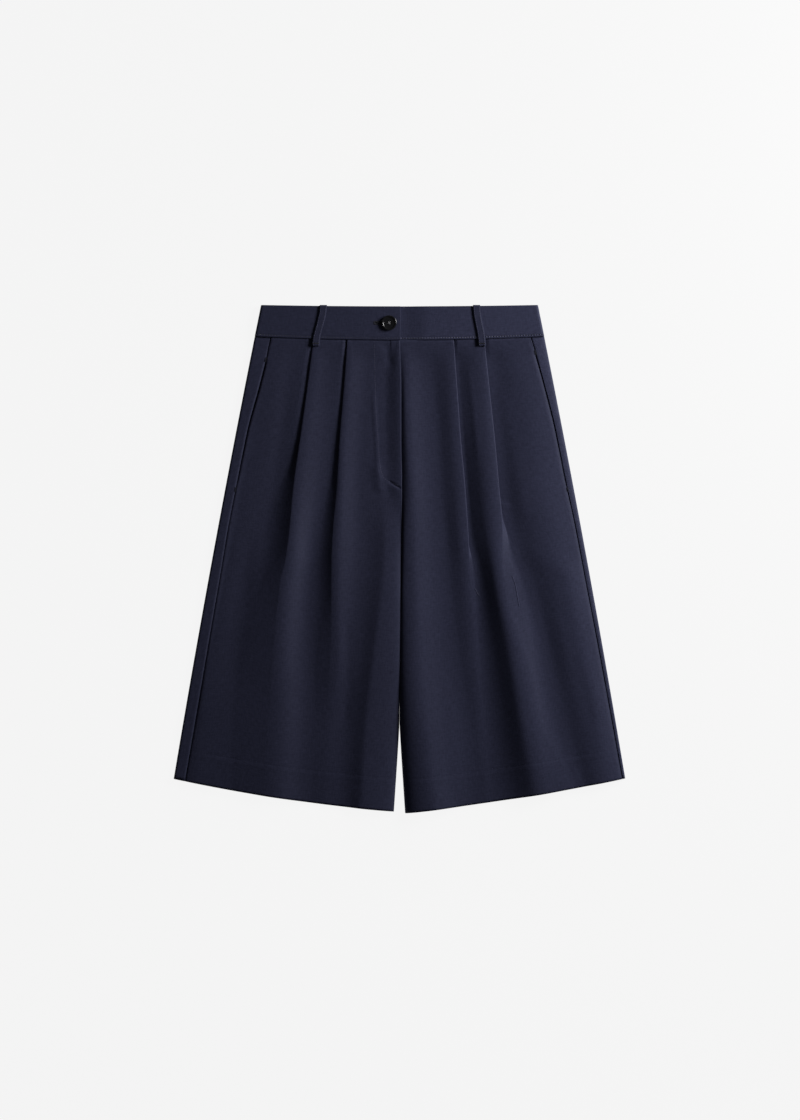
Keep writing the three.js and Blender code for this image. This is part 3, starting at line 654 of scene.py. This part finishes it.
def loop_x(side, y, offset):
    """The x of a point that lies a little beside the loop's middle, at the height y."""
    top_y, foot_y = loop_ends(side)
    return sign_of(side) * (mix(*LOOPS[side], smooth(np.clip((top_y - y) / (top_y - foot_y), 0, 1))) + offset)


for side in SIDES:
    top_y, foot_y = loop_ends(side)
    a = np.linspace(0, math.pi / 2, 9)
    over = np.stack([top_y - LOOP_TOP_BEND + LOOP_TOP_BEND * np.cos(a),
                     LOOP_LEVEL - LOOP_TOP_BEND + LOOP_TOP_BEND * np.sin(a)], 1)
    end = foot_y + LOOP_BEND
    run = np.linspace(top_y - LOOP_TOP_BEND, end, 26)[1:-1]
    a = np.linspace(0, math.pi, 13)
    under = np.stack([end - LOOP_BEND * np.sin(a), LOOP_LEVEL - LOOP_BEND + LOOP_BEND * np.cos(a)], 1)
    tail = np.linspace(end, end + LOOP_TURN, 6)[1:]
    line = np.concatenate([
        [[top_y, BAND_FRONT]], over, level_run(run, LOOP_LEVEL), under,
        level_run(tail, LOOP_LEVEL - 2 * LOOP_BEND),
    ])
    above, below = two_faces(line, CLOTH)
    offsets = np.linspace(-LOOP_WIDTH / 2, LOOP_WIDTH / 2, 10)
    grids = [np.array([np.stack([loop_x(side, y, o), y, z], 1) for o in offsets])
             for y, z in (above.T, below.T)]
    cloth[f"belt_loop_{side}"] = make_wall(f"belt_loop_{side}_cloth", grids[0], grids[1], 0.4)
print("belt loops made")

# %% [markdown]
# ## The button
# The button is turned on a lathe: a raised rim round a dished middle with four holes.

# %% The button
BUTTON_X, BUTTON_Y = -12.5, 283.8
BUTTON_BASE = BAND_FRONT + BAND / 2 + SEAM_GAP
RADIUS, THICK, RIM, DISH = 9.0, 2.5, 1.9, 1.0
HOLE_R, HOLE_GAP = 0.9, 3.0


def lathe(name, profile, around, x, y, z):
    """Closed turned form from (radius, height) pairs that start and end on the axis."""
    ring = profile[1:-1]
    angles = np.arange(around) * 2 * math.pi / around
    pts = [(x, y, z + profile[0][1])]
    for r, h in ring:
        pts += [(x + r * math.cos(a), y + r * math.sin(a), z + h) for a in angles]
    pts.append((x, y, z + profile[-1][1]))
    faces = []
    last = len(pts) - 1
    for k in range(around):
        n = (k + 1) % around
        faces.append((0, 1 + n, 1 + k))
        for i in range(len(ring) - 1):
            b, t = 1 + i * around, 1 + (i + 1) * around
            faces.append((b + k, b + n, t + n, t + k))
        t = 1 + (len(ring) - 1) * around
        faces.append((t + k, t + n, last))
    return new_piece(name, pts, faces, smooth=len(faces))


def baked(piece):
    """The piece with its modifiers applied, as a plain mesh."""
    graph = bpy.context.evaluated_depsgraph_get()
    graph.update()
    done = bpy.data.meshes.new_from_object(piece.evaluated_get(graph))
    piece.modifiers.clear()
    piece.data = done
    return piece


def cut(piece, tools):
    for tool in tools:
        mod = piece.modifiers.new("cut", "BOOLEAN")
        mod.object, mod.operation, mod.solver = tool, "DIFFERENCE", "EXACT"
    baked(piece)
    for tool in tools:
        bpy.data.objects.remove(tool)
    return piece


rim_curve = [(RADIUS - RIM * 0.5 + RIM * 0.5 * math.cos(a), THICK - 0.6 + 0.6 * math.sin(a))
             for a in np.linspace(0.05, math.pi * 0.9, 12)]
profile = [(0, 0), (6.4, 0), (8.0, 0.3), (8.7, 0.8), (9.0, 1.4)] + rim_curve + [
    (RADIUS - RIM - 0.25, THICK - 0.85), (RADIUS - RIM - 0.8, THICK - DISH + 0.08),
    (RADIUS - RIM - 1.6, THICK - DISH), (3.4, THICK - DISH + 0.05), (2.9, THICK - DISH - 0.12),
    (1.2, THICK - DISH - 0.15), (0, THICK - DISH - 0.15)]
button = lathe("waist_button_turned", profile, 72, BUTTON_X, BUTTON_Y, BUTTON_BASE)
bores = [lathe(f"bore_{i}", [(0, -2), (HOLE_R, -2), (HOLE_R, 6), (0, 6)], 20,
               BUTTON_X + sx * HOLE_GAP / 2, BUTTON_Y + sy * HOLE_GAP / 2, BUTTON_BASE)
         for i, (sx, sy) in enumerate([(-1, -1), (1, -1), (-1, 1), (1, 1)])]
cut(button, bores)
print("button", len(button.data.polygons), "faces")

# %% [markdown]
# ## The buttonhole and the button's thread
# The buttonhole is a slit cut through the band, half hidden by the button. Two short
# crossed bars of thread run from hole to hole across the button's dish.

# %% Cut the buttonhole
HOLE_START, HOLE_END, HOLE_WIDTH = -29.6, -9.5, 0.7
SIX_SIDES = [(0, 1, 3, 2), (4, 6, 7, 5), (0, 4, 5, 1), (2, 3, 7, 6), (0, 2, 6, 4), (1, 5, 7, 3)]
corners = [(x, y, z) for x in (HOLE_START, HOLE_END)
           for y in (BUTTON_Y - HOLE_WIDTH / 2, BUTTON_Y + HOLE_WIDTH / 2)
           for z in (BAND_FRONT - 1.2, BAND_FRONT + 2)]
cut(cloth["waistband_right"], [new_piece("slit", corners, SIX_SIDES)])
print("buttonhole cut, band", len(cloth["waistband_right"].data.polygons), "faces")


# %% The button's thread
def strand(points, radius, around=8):
    """Vertices and faces of a thin closed tube along the points, in millimetres."""
    points = np.asarray(points, float)
    ahead = np.gradient(points, axis=0)
    ahead /= np.linalg.norm(ahead, axis=1)[:, None]
    side_way = np.cross(ahead, (0.0, 0.0, 1.0))
    side_way /= np.maximum(np.linalg.norm(side_way, axis=1), 1e-9)[:, None]
    up_way = np.cross(side_way, ahead)
    angles = np.arange(around) * 2 * math.pi / around
    rings = (points[:, None] + radius * (np.cos(angles)[None, :, None] * side_way[:, None]
                                         + np.sin(angles)[None, :, None] * up_way[:, None]))
    last = (len(points) - 1) * around
    faces = [(b + k, b + (k + 1) % around, b + around + (k + 1) % around, b + around + k)
             for b in range(0, last, around) for k in range(around)]
    ends = [tuple(range(around))[::-1], tuple(range(last, last + around))]
    return rings.reshape(-1, 3).tolist(), faces + ends


verts, faces = [], []
dish = BUTTON_BASE + THICK - DISH
for bar, (sx, sy) in enumerate(((1, 1), (1, -1))):
    for shift in (-0.34, 0.0, 0.34):
        t = np.linspace(-1, 1, 15)
        reach = HOLE_GAP / 2 * t
        rise = dish + 0.28 + 0.22 * bar - 1.5 * np.clip((abs(t) - 0.86) / 0.14, 0, 1)
        aside = shift * 0.7
        line = np.stack([BUTTON_X + sx * reach - sy * aside, BUTTON_Y + sy * reach + sx * aside, rise], 1)
        more, extra = strand(line, 0.2)
        faces += [tuple(k + len(verts) for k in f) for f in extra]
        verts += more
button_thread = new_piece("button_thread", verts, faces, smooth=len(faces))
print("button thread", len(faces), "faces")

# %% [markdown]
# ## Shader helpers
# A material is written as sums and products of sockets. One small class wraps a socket,
# and one method makes every other node.


# %% Sockets as numbers
class Val:
    def __init__(self, mat, socket):
        self.mat, self.socket = mat, socket

    def _math(self, op, a, b):
        return self.mat.node("ShaderNodeMath", {"operation": op}, {0: a, 1: b})

    def __add__(self, o): return self._math("ADD", self, o)
    def __sub__(self, o): return self._math("SUBTRACT", self, o)
    def __rsub__(self, o): return self._math("SUBTRACT", o, self)
    def __mul__(self, o): return self._math("MULTIPLY", self, o)
    def __truediv__(self, o): return self._math("DIVIDE", self, o)
    def sin(self): return self._math("SINE", self, 0)
    def abs(self): return self._math("ABSOLUTE", self, 0)
    def clamp(self): return self.mat.node("ShaderNodeClamp", {}, {0: self, 1: 0.0, 2: 1.0})


class Finish:
    def __init__(self, name):
        self.material = bpy.data.materials.new(name)
        self.material.use_nodes = True
        self.tree = self.material.node_tree
        self.tree.nodes.clear()
        self.out = self.tree.nodes.new("ShaderNodeOutputMaterial")

    def node(self, kind, settings, inputs, output=0):
        made = self.tree.nodes.new(kind)
        for key, value in settings.items():
            if key == "stops":
                ramp_ = made.color_ramp
                while len(ramp_.elements) < len(value):
                    ramp_.elements.new(0.5)
                for e, (pos, colour) in zip(ramp_.elements, value):
                    e.position, e.color = pos, colour
            else:
                setattr(made, key, value)
        for key, value in inputs.items():
            socket = made.inputs[key]
            if isinstance(value, Val):
                self.tree.links.new(value.socket, socket)
            else:
                socket.default_value = value
        return Val(self, made.outputs[output])

    def blend(self, a, b, factor):
        """A colour between a and b."""
        return self.node("ShaderNodeMix", {"data_type": "RGBA"}, {0: factor, 6: a, 7: b}, 2)

    def surface(self, shader):
        self.tree.links.new(shader.socket, self.out.inputs["Surface"])
        return self.material


# %% [markdown]
# ## Suiting
# The cloth is a smooth, tightly woven navy suiting. Seen close, a fine twill crosses it
# on the bias, and single threads are a little lighter or darker than their neighbours.
# The pattern follows the cloth's own UV map, which is in metres.


# %% The cloth's finish
# The small kinks on the left front run between two (u, down) points, in millimetres.
KINKS = [((90.6, 303.0), (95.4, 312.0)), ((135.2, 291.0), (139.0, 302.0)), ((139.0, 302.0), (143.6, 331.0))]
KINK_WIDTH = 0.0007
KINK_HEIGHT = 6.0
DARK_NAVY = (0.0118, 0.0126, 0.0245)
LIGHT_NAVY = (0.0208, 0.0222, 0.0420)
TWILL, WEFT = 0.00062, 0.00048      # from one thread to the next, in metres


def uv_place(node, x, y):
    """Where the point seen from above at (x, y) lies on the piece's UV map."""
    upper, flat = flat_of[node]
    near = abs(upper[:, :, 0] - x).argmin(1)
    row = abs(upper[np.arange(len(upper)), near, 1] - y).argmin()
    line, step = upper[row], np.diff(upper[row, :, 0])
    t = (x - line[:-1, 0]) / np.where(abs(step) < 1e-6, 1e-6, step)
    z = np.where((t >= 0) & (t <= 1), mix(line[:-1, 2], line[1:, 2], t), -1.0)
    best = z.argmax()
    return mix(flat[row, best], flat[row, best + 1], t[best])


def suiting(name, tone=1.0, kinks=()):
    m = Finish(name)
    uv = m.node("ShaderNodeUVMap", {"uv_map": "cloth"}, {})

    def stretched(x, y, scale, detail=2.0):
        place = m.node("ShaderNodeMapping", {}, {0: uv, 3: (x, y, 1.0)})
        return m.node("ShaderNodeTexNoise", {}, {0: place, 2: scale, 3: detail, 4: 0.55})

    split = m.node("ShaderNodeSeparateXYZ", {}, {0: uv})
    u = split
    v = Val(m, split.socket.node.outputs[1])
    twill = ((u + v) * (2 * math.pi / TWILL)).sin() * 0.5 + 0.5
    weft = (v * (2 * math.pi / WEFT)).sin() * 0.5 + 0.5
    warp_threads = stretched(1.0, 0.22, 620.0)
    weft_threads = stretched(0.22, 1.0, 620.0)
    cloudy = stretched(1.0, 1.0, 9.0, 3.0)
    grain = warp_threads * 0.5 + weft_threads * 0.5
    dark, light = (tuple(tone * c for c in navy) + (1.0,) for navy in (DARK_NAVY, LIGHT_NAVY))
    shade = ((grain - 0.5) * 2.2 + (cloudy - 0.5) * 0.35 + (twill - 0.5) * 0.10 + 0.5).clamp()
    colour = m.blend(dark, light, shade)
    rough = ((grain - 0.5) * 0.3 + 0.56).clamp()
    height = grain * 0.9 + twill * 0.25 + weft * 0.12
    for start, end in kinks:
        length = float(np.hypot(*(end - start)))
        way = (end - start) / length
        x, y = u - float(start[0]), v - float(start[1])
        run = x * float(way[0]) + y * float(way[1])
        off = (x * float(way[1]) - y * float(way[0])).abs()
        inside = (run * 1500.0).clamp() * ((length - run) * 1500.0).clamp()
        height = height + inside * (1.0 - off / KINK_WIDTH).clamp() * KINK_HEIGHT
    bump = m.node("ShaderNodeBump", {}, {"Strength": 0.55, "Distance": 0.00022, "Height": height})
    shader = m.node("ShaderNodeBsdfPrincipled", {}, {
        "Base Color": colour, "Roughness": rough, "Normal": bump,
        "Specular IOR Level": 0.04, "Sheen Weight": 0.03, "Sheen Roughness": 0.4,
        "Sheen Tint": (0.55, 0.62, 0.95, 1.0),
    })
    return m.surface(shader)


suiting_cloth = suiting("navy_suiting")

# %% The button's finish
horn = Finish("black_polished_button")
spot = horn.node("ShaderNodeTexCoord", {}, {}, 3)
clouds = horn.node("ShaderNodeTexNoise", {}, {0: spot, 2: 420.0, 3: 3.0})
tint = horn.blend((0.0015, 0.0015, 0.002, 1), (0.006, 0.006, 0.007, 1), clouds)
scuff = horn.node("ShaderNodeBump", {}, {"Strength": 0.12, "Distance": 0.0001, "Height": clouds})
polished = horn.surface(horn.node("ShaderNodeBsdfPrincipled", {}, {
    "Base Color": tint, "Roughness": (clouds * 0.12 + 0.10), "Normal": scuff,
    "Specular IOR Level": 0.32,
}))
print("finishes made")


# %% Thread
def thread(name, dark, light):
    m = Finish(name)
    place = m.node("ShaderNodeTexCoord", {}, {}, 3)
    ply = m.node("ShaderNodeTexNoise", {}, {0: place, 2: 2600.0, 3: 2.0})
    colour = m.blend(dark + (1.0,), light + (1.0,), ply)
    fuzz = m.node("ShaderNodeBump", {}, {"Strength": 0.5, "Distance": 0.0001, "Height": ply})
    return m.surface(m.node("ShaderNodeBsdfPrincipled", {}, {
        "Base Color": colour, "Roughness": (ply * 0.3 + 0.45), "Normal": fuzz,
        "Specular IOR Level": 0.15, "Sheen Weight": 0.05,
    }))


navy_thread = thread("navy_thread", (0.026, 0.027, 0.050), (0.052, 0.054, 0.092))
pale_thread = thread("pale_navy_thread", (0.055, 0.057, 0.095), (0.10, 0.105, 0.16))
# Dark thread for the buttonhole and the pocket tacks. The same dark is painted shade on the belt loops' tacks
# and in the dots between the waistband stitches.
dark_thread_and_painted_shade = thread("dark_navy_thread_and_painted_shade", (0.003, 0.0032, 0.006), (0.008, 0.0085, 0.015))
# The button's black thread is coloured grey as painted highlight, the light that its strands catch.
painted_highlight_thread = thread("black_thread_painted_highlight", (0.05, 0.05, 0.055), (0.16, 0.16, 0.17))

# %% [markdown]
# ## Stitches
# One Geometry Nodes tree sews every line. It walks a path at an even pitch and sets a
# small rounded stitch at each step, turned to the path and a little uneven. The paths are
# dropped from above onto the cloth, so that each stitch lies in it.


# %% The stitching tree
def stitching(label, finish):
    tree = bpy.data.node_groups.new(label, "GeometryNodeTree")
    ids = {}
    for name, kind, value in (
            ("Path", "Geometry", None), ("Pitch", "Float", 0.003), ("Length", "Float", 0.002),
            ("Width", "Float", 0.0005), ("Height", "Float", 0.0004), ("Turn", "Float", 0.0),
            ("Wobble", "Float", 0.05), ("Seed", "Int", 1)):
        made = tree.interface.new_socket(name=name, in_out="INPUT", socket_type="NodeSocket" + kind)
        ids[name] = made.identifier
        if value is not None:
            made.default_value = value
    tree.interface.new_socket(name="Stitches", in_out="OUTPUT", socket_type="NodeSocketGeometry")
    given = tree.nodes.new("NodeGroupInput").outputs

    def node(kind, inputs, out=0, **settings):
        new = tree.nodes.new(kind)
        for key, value in settings.items():
            setattr(new, key, value)
        for key, value in inputs.items():
            if isinstance(value, bpy.types.NodeSocket):
                tree.links.new(value, new.inputs[key])
            else:
                new.inputs[key].default_value = value
        return new.outputs[out]

    line = node("GeometryNodeMeshToCurve", {"Mesh": given["Path"]})
    steps = node("GeometryNodeResampleCurve", {"Curve": line, "Length": given["Pitch"]}, mode="LENGTH")
    one = node("GeometryNodeMeshUVSphere", {"Segments": 8, "Rings": 5, "Radius": 0.5})
    size = node("ShaderNodeCombineXYZ", {"X": given["Length"], "Y": given["Width"], "Z": given["Height"]})
    chance = node("FunctionNodeRandomValue", {2: -1.0, 3: 1.0, "Seed": given["Seed"]}, 1, data_type="FLOAT")
    uneven = node("ShaderNodeMath", {0: chance, 1: given["Wobble"], 2: given["Turn"]},
                  operation="MULTIPLY_ADD")
    about_z = node("ShaderNodeCombineXYZ", {"Z": uneven})
    ahead = node("GeometryNodeInputTangent", {})
    facing = node("FunctionNodeAlignRotationToVector", {"Vector": ahead}, axis="X")
    turned = node("FunctionNodeRotateRotation", {
        "Rotation": facing, "Rotate By": node("FunctionNodeEulerToRotation", {"Euler": about_z}),
    }, rotation_space="LOCAL")
    placed = node("GeometryNodeInstanceOnPoints", {
        "Points": steps, "Instance": one, "Rotation": turned, "Scale": size})
    real = node("GeometryNodeRealizeInstances", {"Geometry": placed})
    rounded = node("GeometryNodeSetShadeSmooth", {"Geometry": real})
    dressed = node("GeometryNodeSetMaterial", {"Geometry": rounded, "Material": finish})
    tree.links.new(dressed, tree.nodes.new("NodeGroupOutput").inputs[0])
    return tree, ids


trees = {
    "navy": stitching("navy_stitching", navy_thread),
    "dark": stitching("dark_stitching_and_painted_shade", dark_thread_and_painted_shade),
    "pale": stitching("pale_stitching", pale_thread),
}

# %% Laying a path on the cloth and sewing along it
graph = bpy.context.evaluated_depsgraph_get()
graph.update()
skins = {node: BVHTree.FromObject(piece, graph) for node, piece in cloth.items()}


def laid_on(points, nodes, lift, below=False):
    """The (x, y) points dropped onto the nearest face of the named pieces, then raised."""
    way = 1 if below else -1
    found = []
    for x, y in points:
        hits = []
        for node in nodes:
            at = skins[node].ray_cast(Vector((x * MM, y * MM, -way * 0.05)), Vector((0, 0, way)))[0]
            if at is not None:
                hits.append(at.z / MM)
        if hits:
            z = min(hits) if below else max(hits)
            found.append((x, y, z - way * lift))
    return found


def sewn(name, colour, paths, sizes, seed):
    """Stitches along the paths, as a plain mesh. sizes: pitch, length, width, height, turn, wobble."""
    verts, edges = [], []
    for path in paths:
        edges += [(len(verts) + k, len(verts) + k + 1) for k in range(len(path) - 1)]
        verts += path
    piece = new_piece(name, verts, [], edges)
    tree, ids = trees[colour]
    mod = piece.modifiers.new("stitches", "NODES")
    mod.node_group = tree
    for key, value in zip(("Pitch", "Length", "Width", "Height"), sizes):
        mod[ids[key]] = value * MM
    mod[ids["Turn"]], mod[ids["Wobble"]] = sizes[4:]
    mod[ids["Seed"]] = seed
    baked(piece)
    print(name, len(piece.data.polygons), "faces")
    return piece


PATH_STEP = 1.5


def curved(points):
    """A smooth line through a few (x, y) points."""
    pts = np.asarray(points, float)
    reach = np.concatenate([[0], np.cumsum(np.hypot(*np.diff(pts, axis=0).T))])
    at = np.linspace(0, reach[-1], int(reach[-1] / PATH_STEP) + 1)
    return list(zip(through(reach, pts[:, 0], at), through(reach, pts[:, 1], at)))


# %% Sew the lines
stitches = {}
STITCH_IN = 2.0      # how far above the waist seam its stitches run
ACROSS = math.pi / 2  # a stitch that crosses its path
bands = ("waistband_right", "waistband_left")


def band_line(start, end, below=False, lift=0.06):
    xs = np.linspace(start, end, int(abs(end - start) / PATH_STEP) + 2)
    return laid_on([(x, band_seam(abs(x)) + STITCH_IN) for x in xs], bands, lift, below)


side_x = half_width(BAND_SIDE_Y) - 2.2
stitches["waistband"] = sewn("waistband_stitches", "navy", [
    band_line(-side_x, OVERLAP_X - 0.9), band_line(-side_x, side_x, True),
], (3.2, 2.2, 0.7, 0.4, 0.0, 0.05), 3)
stitches["waistband_end"] = sewn("waistband_end_stitches", "pale", [
    band_line(OVERLAP_X + 1.2, side_x),
], (3.2, 2.0, 0.9, 0.5, 0.0, 0.05), 6)
# Dark dots between the waistband stitches are painted shade in the holes where the thread sinks into the
# band.
stitches["waistband_ends"] = sewn("waistband_stitch_ends", "dark", [
    band_line(1.6 - side_x, OVERLAP_X - 0.9, lift=0.1), band_line(OVERLAP_X + 2.8, side_x, lift=0.25),
], (3.2, 1.4, 1.7, 0.4, 0.0, 0.2), 4)

loop_paths, tack_paths = [], []
for side in SIDES:
    top_y, foot_y = loop_ends(side)
    for offset in (-LOOP_WIDTH / 2 + 1.2, LOOP_WIDTH / 2 - 1.2):
        ys = np.linspace(top_y - 2.0, foot_y + 0.8, 30)
        loop_paths.append(laid_on([(loop_x(side, y, offset), y) for y in ys], (f"belt_loop_{side}",), 0.05))
    tack_y = foot_y + 2.6
    across = np.linspace(-LOOP_WIDTH / 2 + 0.7, LOOP_WIDTH / 2 - 0.7, 8)
    tack = [(loop_x(side, tack_y, o), tack_y) for o in across]
    tack_paths.append(laid_on(tack, (f"belt_loop_{side}",), 0.08))
stitches["loops"] = sewn("belt_loop_stitches", "navy", loop_paths, (2.6, 2.0, 0.5, 0.36, 0.0, 0.05), 5)
# The tacks at the loops' feet are dark as painted shade on the turned-under ends.
stitches["loop_tacks"] = sewn("belt_loop_tacks", "dark", tack_paths,
                              (0.5, 1.9, 0.42, 0.34, ACROSS, 0.2), 7)

J_LINE = [(-30.0, 257.0), (-29.4, 218.0), (-28.2, 179.4), (-25.8, 143.4), (-24.2, 119.4),
          (-21.8, 105.0), (-17.4, 96.6), (-10.4, 92.6), (-3.0, 89.4)]
stitches["fly"] = sewn("fly_stitches", "navy", [laid_on(curved(J_LINE), ("front_right",), 0.05)],
                       (2.6, 1.9, 0.40, 0.3, 0.0, 0.06), 11)

POCKET_TACKS = {"right": (240.0, 84.0), "left": (248.5, 84.0)}
pocket_paths = []
for side in SIDES:
    for y in POCKET_TACKS[side]:
        ends = []
        for yy in (y + 2.4, y - 2.4):
            down = (band_seam(170) - yy) / (band_seam(170) - hem_y(side, 200)) * LEG_LENGTH
            seam = half_width(yy) - along(FOLDS[side]["strip"], down)
            level = laid_on([(sign_of(side) * (seam - 1.9), yy), (sign_of(side) * (seam + 1.9), yy)],
                            (f"front_{side}", f"back_{side}"), 0.0)
            ends.append((sign_of(side) * seam, yy, max(q[2] for q in level) + 0.02))
        pocket_paths.append(ends)
stitches["pockets"] = sewn("pocket_tacks", "dark", pocket_paths,
                           (0.5, 2.6, 0.42, 0.36, ACROSS, 0.15), 13)

half = HOLE_WIDTH / 2 + 0.95
turn = np.linspace(math.pi / 2, 3 * math.pi / 2, 9)
around = ([(x, BUTTON_Y + half) for x in np.linspace(HOLE_END, HOLE_START, 20)]
          + [(HOLE_START + half * math.cos(a), BUTTON_Y + half * math.sin(a)) for a in turn[1:-1]]
          + [(x, BUTTON_Y - half) for x in np.linspace(HOLE_START, HOLE_END, 20)])
purl = [(x, y, BAND_FRONT + BAND / 2 + 0.05) for x, y in around]
stitches["buttonhole"] = sewn("buttonhole_stitches", "dark", [purl],
                              (0.55, 2.3, 0.5, 0.4, ACROSS, 0.12), 17)

HEM_DEEP = 40.0
hem_paths = []
for side in SIDES:
    us = np.arange(8.0, 262.0, 2.0)
    line = [(sign_of(side) * u, hem_y(side, u) + HEM_DEEP) for u in us]
    hem_paths.append(laid_on(line, (f"front_{side}",), -0.08))
stitches["hems"] = sewn("hem_stitches", "navy", hem_paths, (6.5, 0.9, 0.3, 0.24, 0.0, 0.3), 19)

# %% Dress the pieces, hang them under the root body and hide the solids they stand for
kinks = [[uv_place("front_left", q[0], leg_y("left", q[0], q[1])) for q in pair] for pair in KINKS]
print("kinks at", [[[round(float(c), 4) for c in q] for q in pair] for pair in kinks])
tones = {
    "front_left": suiting("navy_suiting_left", 1.0, kinks),
    "waistband_right": suiting("navy_suiting_band", 1.03),
    "waistband_left": suiting("navy_suiting_band_end", 1.19),
    "back_left": suiting("navy_suiting_back", 1.22),
    "back_right": suiting("navy_suiting_far_back", 1.06),
}
for node, piece in cloth.items():
    piece.data.materials.clear()
    piece.data.materials.append(tones.get(node, suiting_cloth))
    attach(piece, "root")
    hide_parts(node)
button.data.materials.clear()
button.data.materials.append(polished)
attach(button, "root")
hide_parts("waist_button")
button_thread.data.materials.append(painted_highlight_thread)
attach(button_thread, "root")
for piece in stitches.values():
    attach(piece, "root")

# %% [markdown]
# ## Surface, light and camera

# %% The surface
FLOOR_HALF = 4000.0
PAPER_GLOW = 0.895
floor_corners = [(FLOOR_HALF * x, FLOOR_HALF * y, 0) for x, y in ((-1, -1), (1, -1), (1, 1), (-1, 1))]
floor = new_piece("pale_surface", floor_corners, [(0, 1, 2, 3)])
paper = Finish("pale_paper")
matt = paper.node("ShaderNodeBsdfPrincipled", {}, {
    "Base Color": (0.02, 0.02, 0.02, 1), "Roughness": 0.9, "Specular IOR Level": 0.0,
    "Emission Color": (1, 1, 1, 1), "Emission Strength": PAPER_GLOW,
})
floor.data.materials.append(paper.surface(matt))

# %% [markdown]
# ## Sheets
# Each piece of cloth is measured for the size it is cut to, and the sizes are printed. A
# pleated front's cut is its length along the cloth, folds and all, so it is much wider than what shows.


# %% Measure each sheet and its flat size
def cut_size(grid):
    """Width, length and area of the cloth, in metres, measured along its rows of points."""
    across = np.linalg.norm(np.diff(grid, axis=1), axis=2).sum(1) * MM
    apart = np.linalg.norm(np.diff(grid, axis=0), axis=2).mean(1) * MM
    area = float(((across[1:] + across[:-1]) / 2 * apart).sum())
    return float(across.max()), float(apart.sum()), area


for node, piece in cloth.items():
    width, length, area = cut_size(middle_of[node])
    if node.startswith("belt_loop"):
        width, length = max(length, 0.010), width
        area = None
    elif area >= 0.999 * width * length:
        area = None
    flat, area = (round(width, 4), round(length, 4)), area and round(area, 4)
    kind, side = node.rsplit("_", 1)
    print(node, flat, area)


# %% Light
def area_light(name, at, towards, width, height, watts):
    data = bpy.data.lights.new(name, "AREA")
    data.shape, data.size, data.size_y, data.energy = "RECTANGLE", width, height, watts
    lamp = bpy.data.objects.new(name, data)
    lamp.location = at
    lamp.rotation_euler = (Vector(towards) - Vector(at)).to_track_quat("-Z", "Y").to_euler()
    bpy.context.scene.collection.objects.link(lamp)
    return lamp


KEY_WATTS, WORLD_STRENGTH = 55.6, 0.095
area_light("key_from_the_right", (1.25, 0.66, 0.56), (0, 0, 0), 0.8, 0.42, KEY_WATTS)
world = bpy.data.worlds.new("studio")
bpy.context.scene.world = world
world.use_nodes = True
sky = world.node_tree.nodes["Background"].inputs
sky[0].default_value, sky[1].default_value = (1, 1, 1, 1), WORLD_STRENGTH

# %% Camera, straight above
CAMERA_HEIGHT = 3.365
camera = bpy.data.objects.new("camera", bpy.data.cameras.new("camera"))
camera.data.sensor_fit = "VERTICAL"
camera.data.sensor_height = 36
camera.data.lens = 90
camera.location = (0.0006, -0.0006, CAMERA_HEIGHT)
camera.rotation_euler = (0, 0, 0)
bpy.context.scene.collection.objects.link(camera)
bpy.context.scene.camera = camera
bpy.context.scene.view_settings.view_transform = "Standard"
